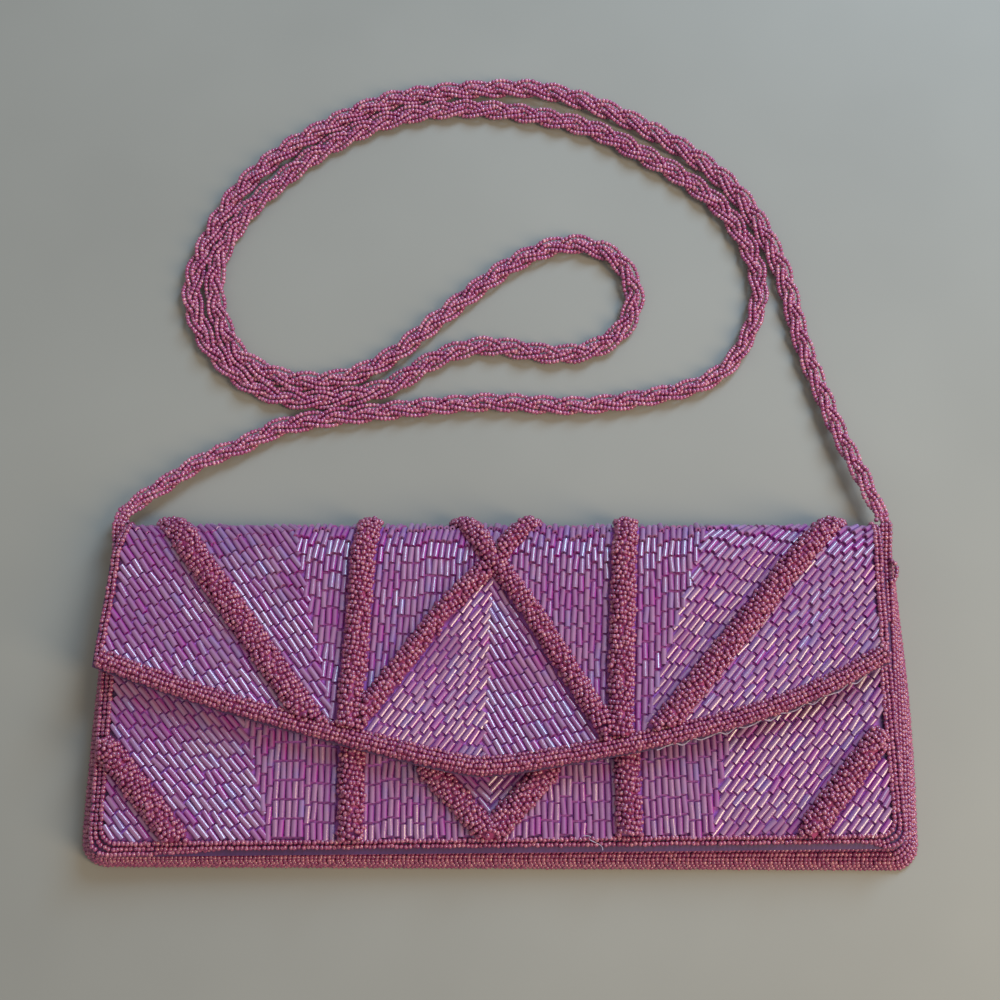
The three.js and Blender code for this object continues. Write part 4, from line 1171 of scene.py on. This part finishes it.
def strap():
    centre, way = resample(laid_curve(STRAP_LEFT + STRAP_RIGHT[1:]), STRAP_STEP)
    length = lengths_along(centre)
    side = unit(np.cross(way, (0, 0, 1.0)))
    lift = np.cross(side, way)
    ends = smooth(np.minimum(length, length[-1] - length), 0, END_RUN)
    loose = np.interp(length, *zip(*LOOSENESS))
    drift = np.interp(length, *zip(*DRIFT))
    strings = []
    for strand in range(STRANDS):
        phase = 2 * np.pi * (length / BRAID_PERIOD + strand / STRANDS)
        wide, high = BRAID_WIDE * loose * np.sin(phase), BRAID_HIGH * np.sin(2 * phase)
        lean = np.arctan(BRAID_WIDE * loose * 2 * np.pi / BRAID_PERIOD * np.cos(phase))
        for string in range(STRINGS):
            shift = (string - 0.5) * STRING_GAP * (0.85 + 0.15 * loose)
            x = (wide + shift * np.cos(lean)) * (0.85 + 0.15 * ends) - drift
            z = high * (0.5 + 0.5 * ends)
            back = shift * np.sin(lean)
            line = centre + side * x[:, None] + lift * z[:, None] - way * back[:, None]
            line[:, 2] = np.maximum(line[:, 2], SEED_RADIUS)
            strings.append((line, line + lift))
    half = int(np.searchsorted(length, lengths_along(laid_curve(STRAP_LEFT))[-1]))
    for node, part in (("strap_left", slice(0, half + 1)), ("strap_right", slice(half, None))):
        spots = join([strung(a[part], b[part], STRAP_PITCH, 0.05) for a, b in strings])
        grow = rng.normal(0.95, 0.05, len(spots[0]))
        obj = bead_object(f"{node}_beads", SEED, spots, STRAP_GLASS, grow=grow)
        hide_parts(node)


wrap_cloth()
front_cloth()
gusset_cloth()
bugles("flap", flap_place, flap_fields, on_flap, FLAP_BEND)
bugles("front", front_place, front_fields, on_front)
flap_ridges()
front_ridges()
flap_border()
flap_sides()
rim_stitches()
front_border()
gusset_beads()
strap()
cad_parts["snap"].data.materials.clear()
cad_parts["snap"].data.materials.append(snap_metal())

# Floor, light and camera

FLOOR_REACH = 2000.0
FLOOR_LEVEL = -0.1
LIGHT_AIM = Vector((0, 0.02, 0))
CAMERA_PLACE = (-0.0007, -0.0374, 0.3617)
CAMERA_TILT = math.radians(15.0)
CAMERA_LENS = 43.2
SENSOR_WIDTH = 36.0

corners = [(FLOOR_REACH * x, FLOOR_REACH * y, FLOOR_LEVEL) for x, y in ((-1, -1), (1, -1), (1, 1), (-1, 1))]
floor = mesh_object("floor", corners, [0, 1, 2, 3], [0], floor_material())
floor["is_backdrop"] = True


def strip_light(name, start, end, width, power, color):
    """A long soft light from start to end, turned to the bag's middle."""
    start, end = Vector(start), Vector(end)
    data = bpy.data.lights.new(name, "AREA")
    data.shape = "RECTANGLE"
    data.size = (end - start).length
    data.size_y = width
    data.energy = power
    data.color = color
    lamp = bpy.data.objects.new(name, data)
    lamp.location = (start + end) / 2
    back = (lamp.location - LIGHT_AIM).normalized()
    across = back.cross(end - start).normalized()
    lamp.rotation_euler = Matrix((across.cross(back), across, back)).transposed().to_euler()
    bpy.context.collection.objects.link(lamp)


strip_light("warm_side", (0.54, -0.14, 0.92), (0.92, -0.43, 0.35), width=0.3, power=7.4,
            color=(1.0, 0.79, 0.54))
strip_light("cool_top", (0.34, 0.58, 0.9), (0.66, 0.84, 0.42), width=0.35, power=11.0,
            color=(0.46, 0.7, 1.0))
world = bpy.data.worlds.new("studio")
world.use_nodes = True
fill_in(world.node_tree.nodes["Background"], {"Color": (1.0, 0.98, 0.97, 1), "Strength": 0.38})
bpy.context.scene.world = world

camera_data = bpy.data.cameras.new("camera")
camera_data.sensor_fit = "HORIZONTAL"
camera_data.sensor_width = SENSOR_WIDTH
camera_data.lens = CAMERA_LENS
camera = bpy.data.objects.new("camera", camera_data)
camera.location = CAMERA_PLACE
camera.rotation_euler = (CAMERA_TILT, 0, 0)
bpy.context.collection.objects.link(camera)
bpy.context.scene.camera = camera
bpy.context.scene.view_settings.view_transform = "Standard"

low, high = (list(map(float, corner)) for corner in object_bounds())
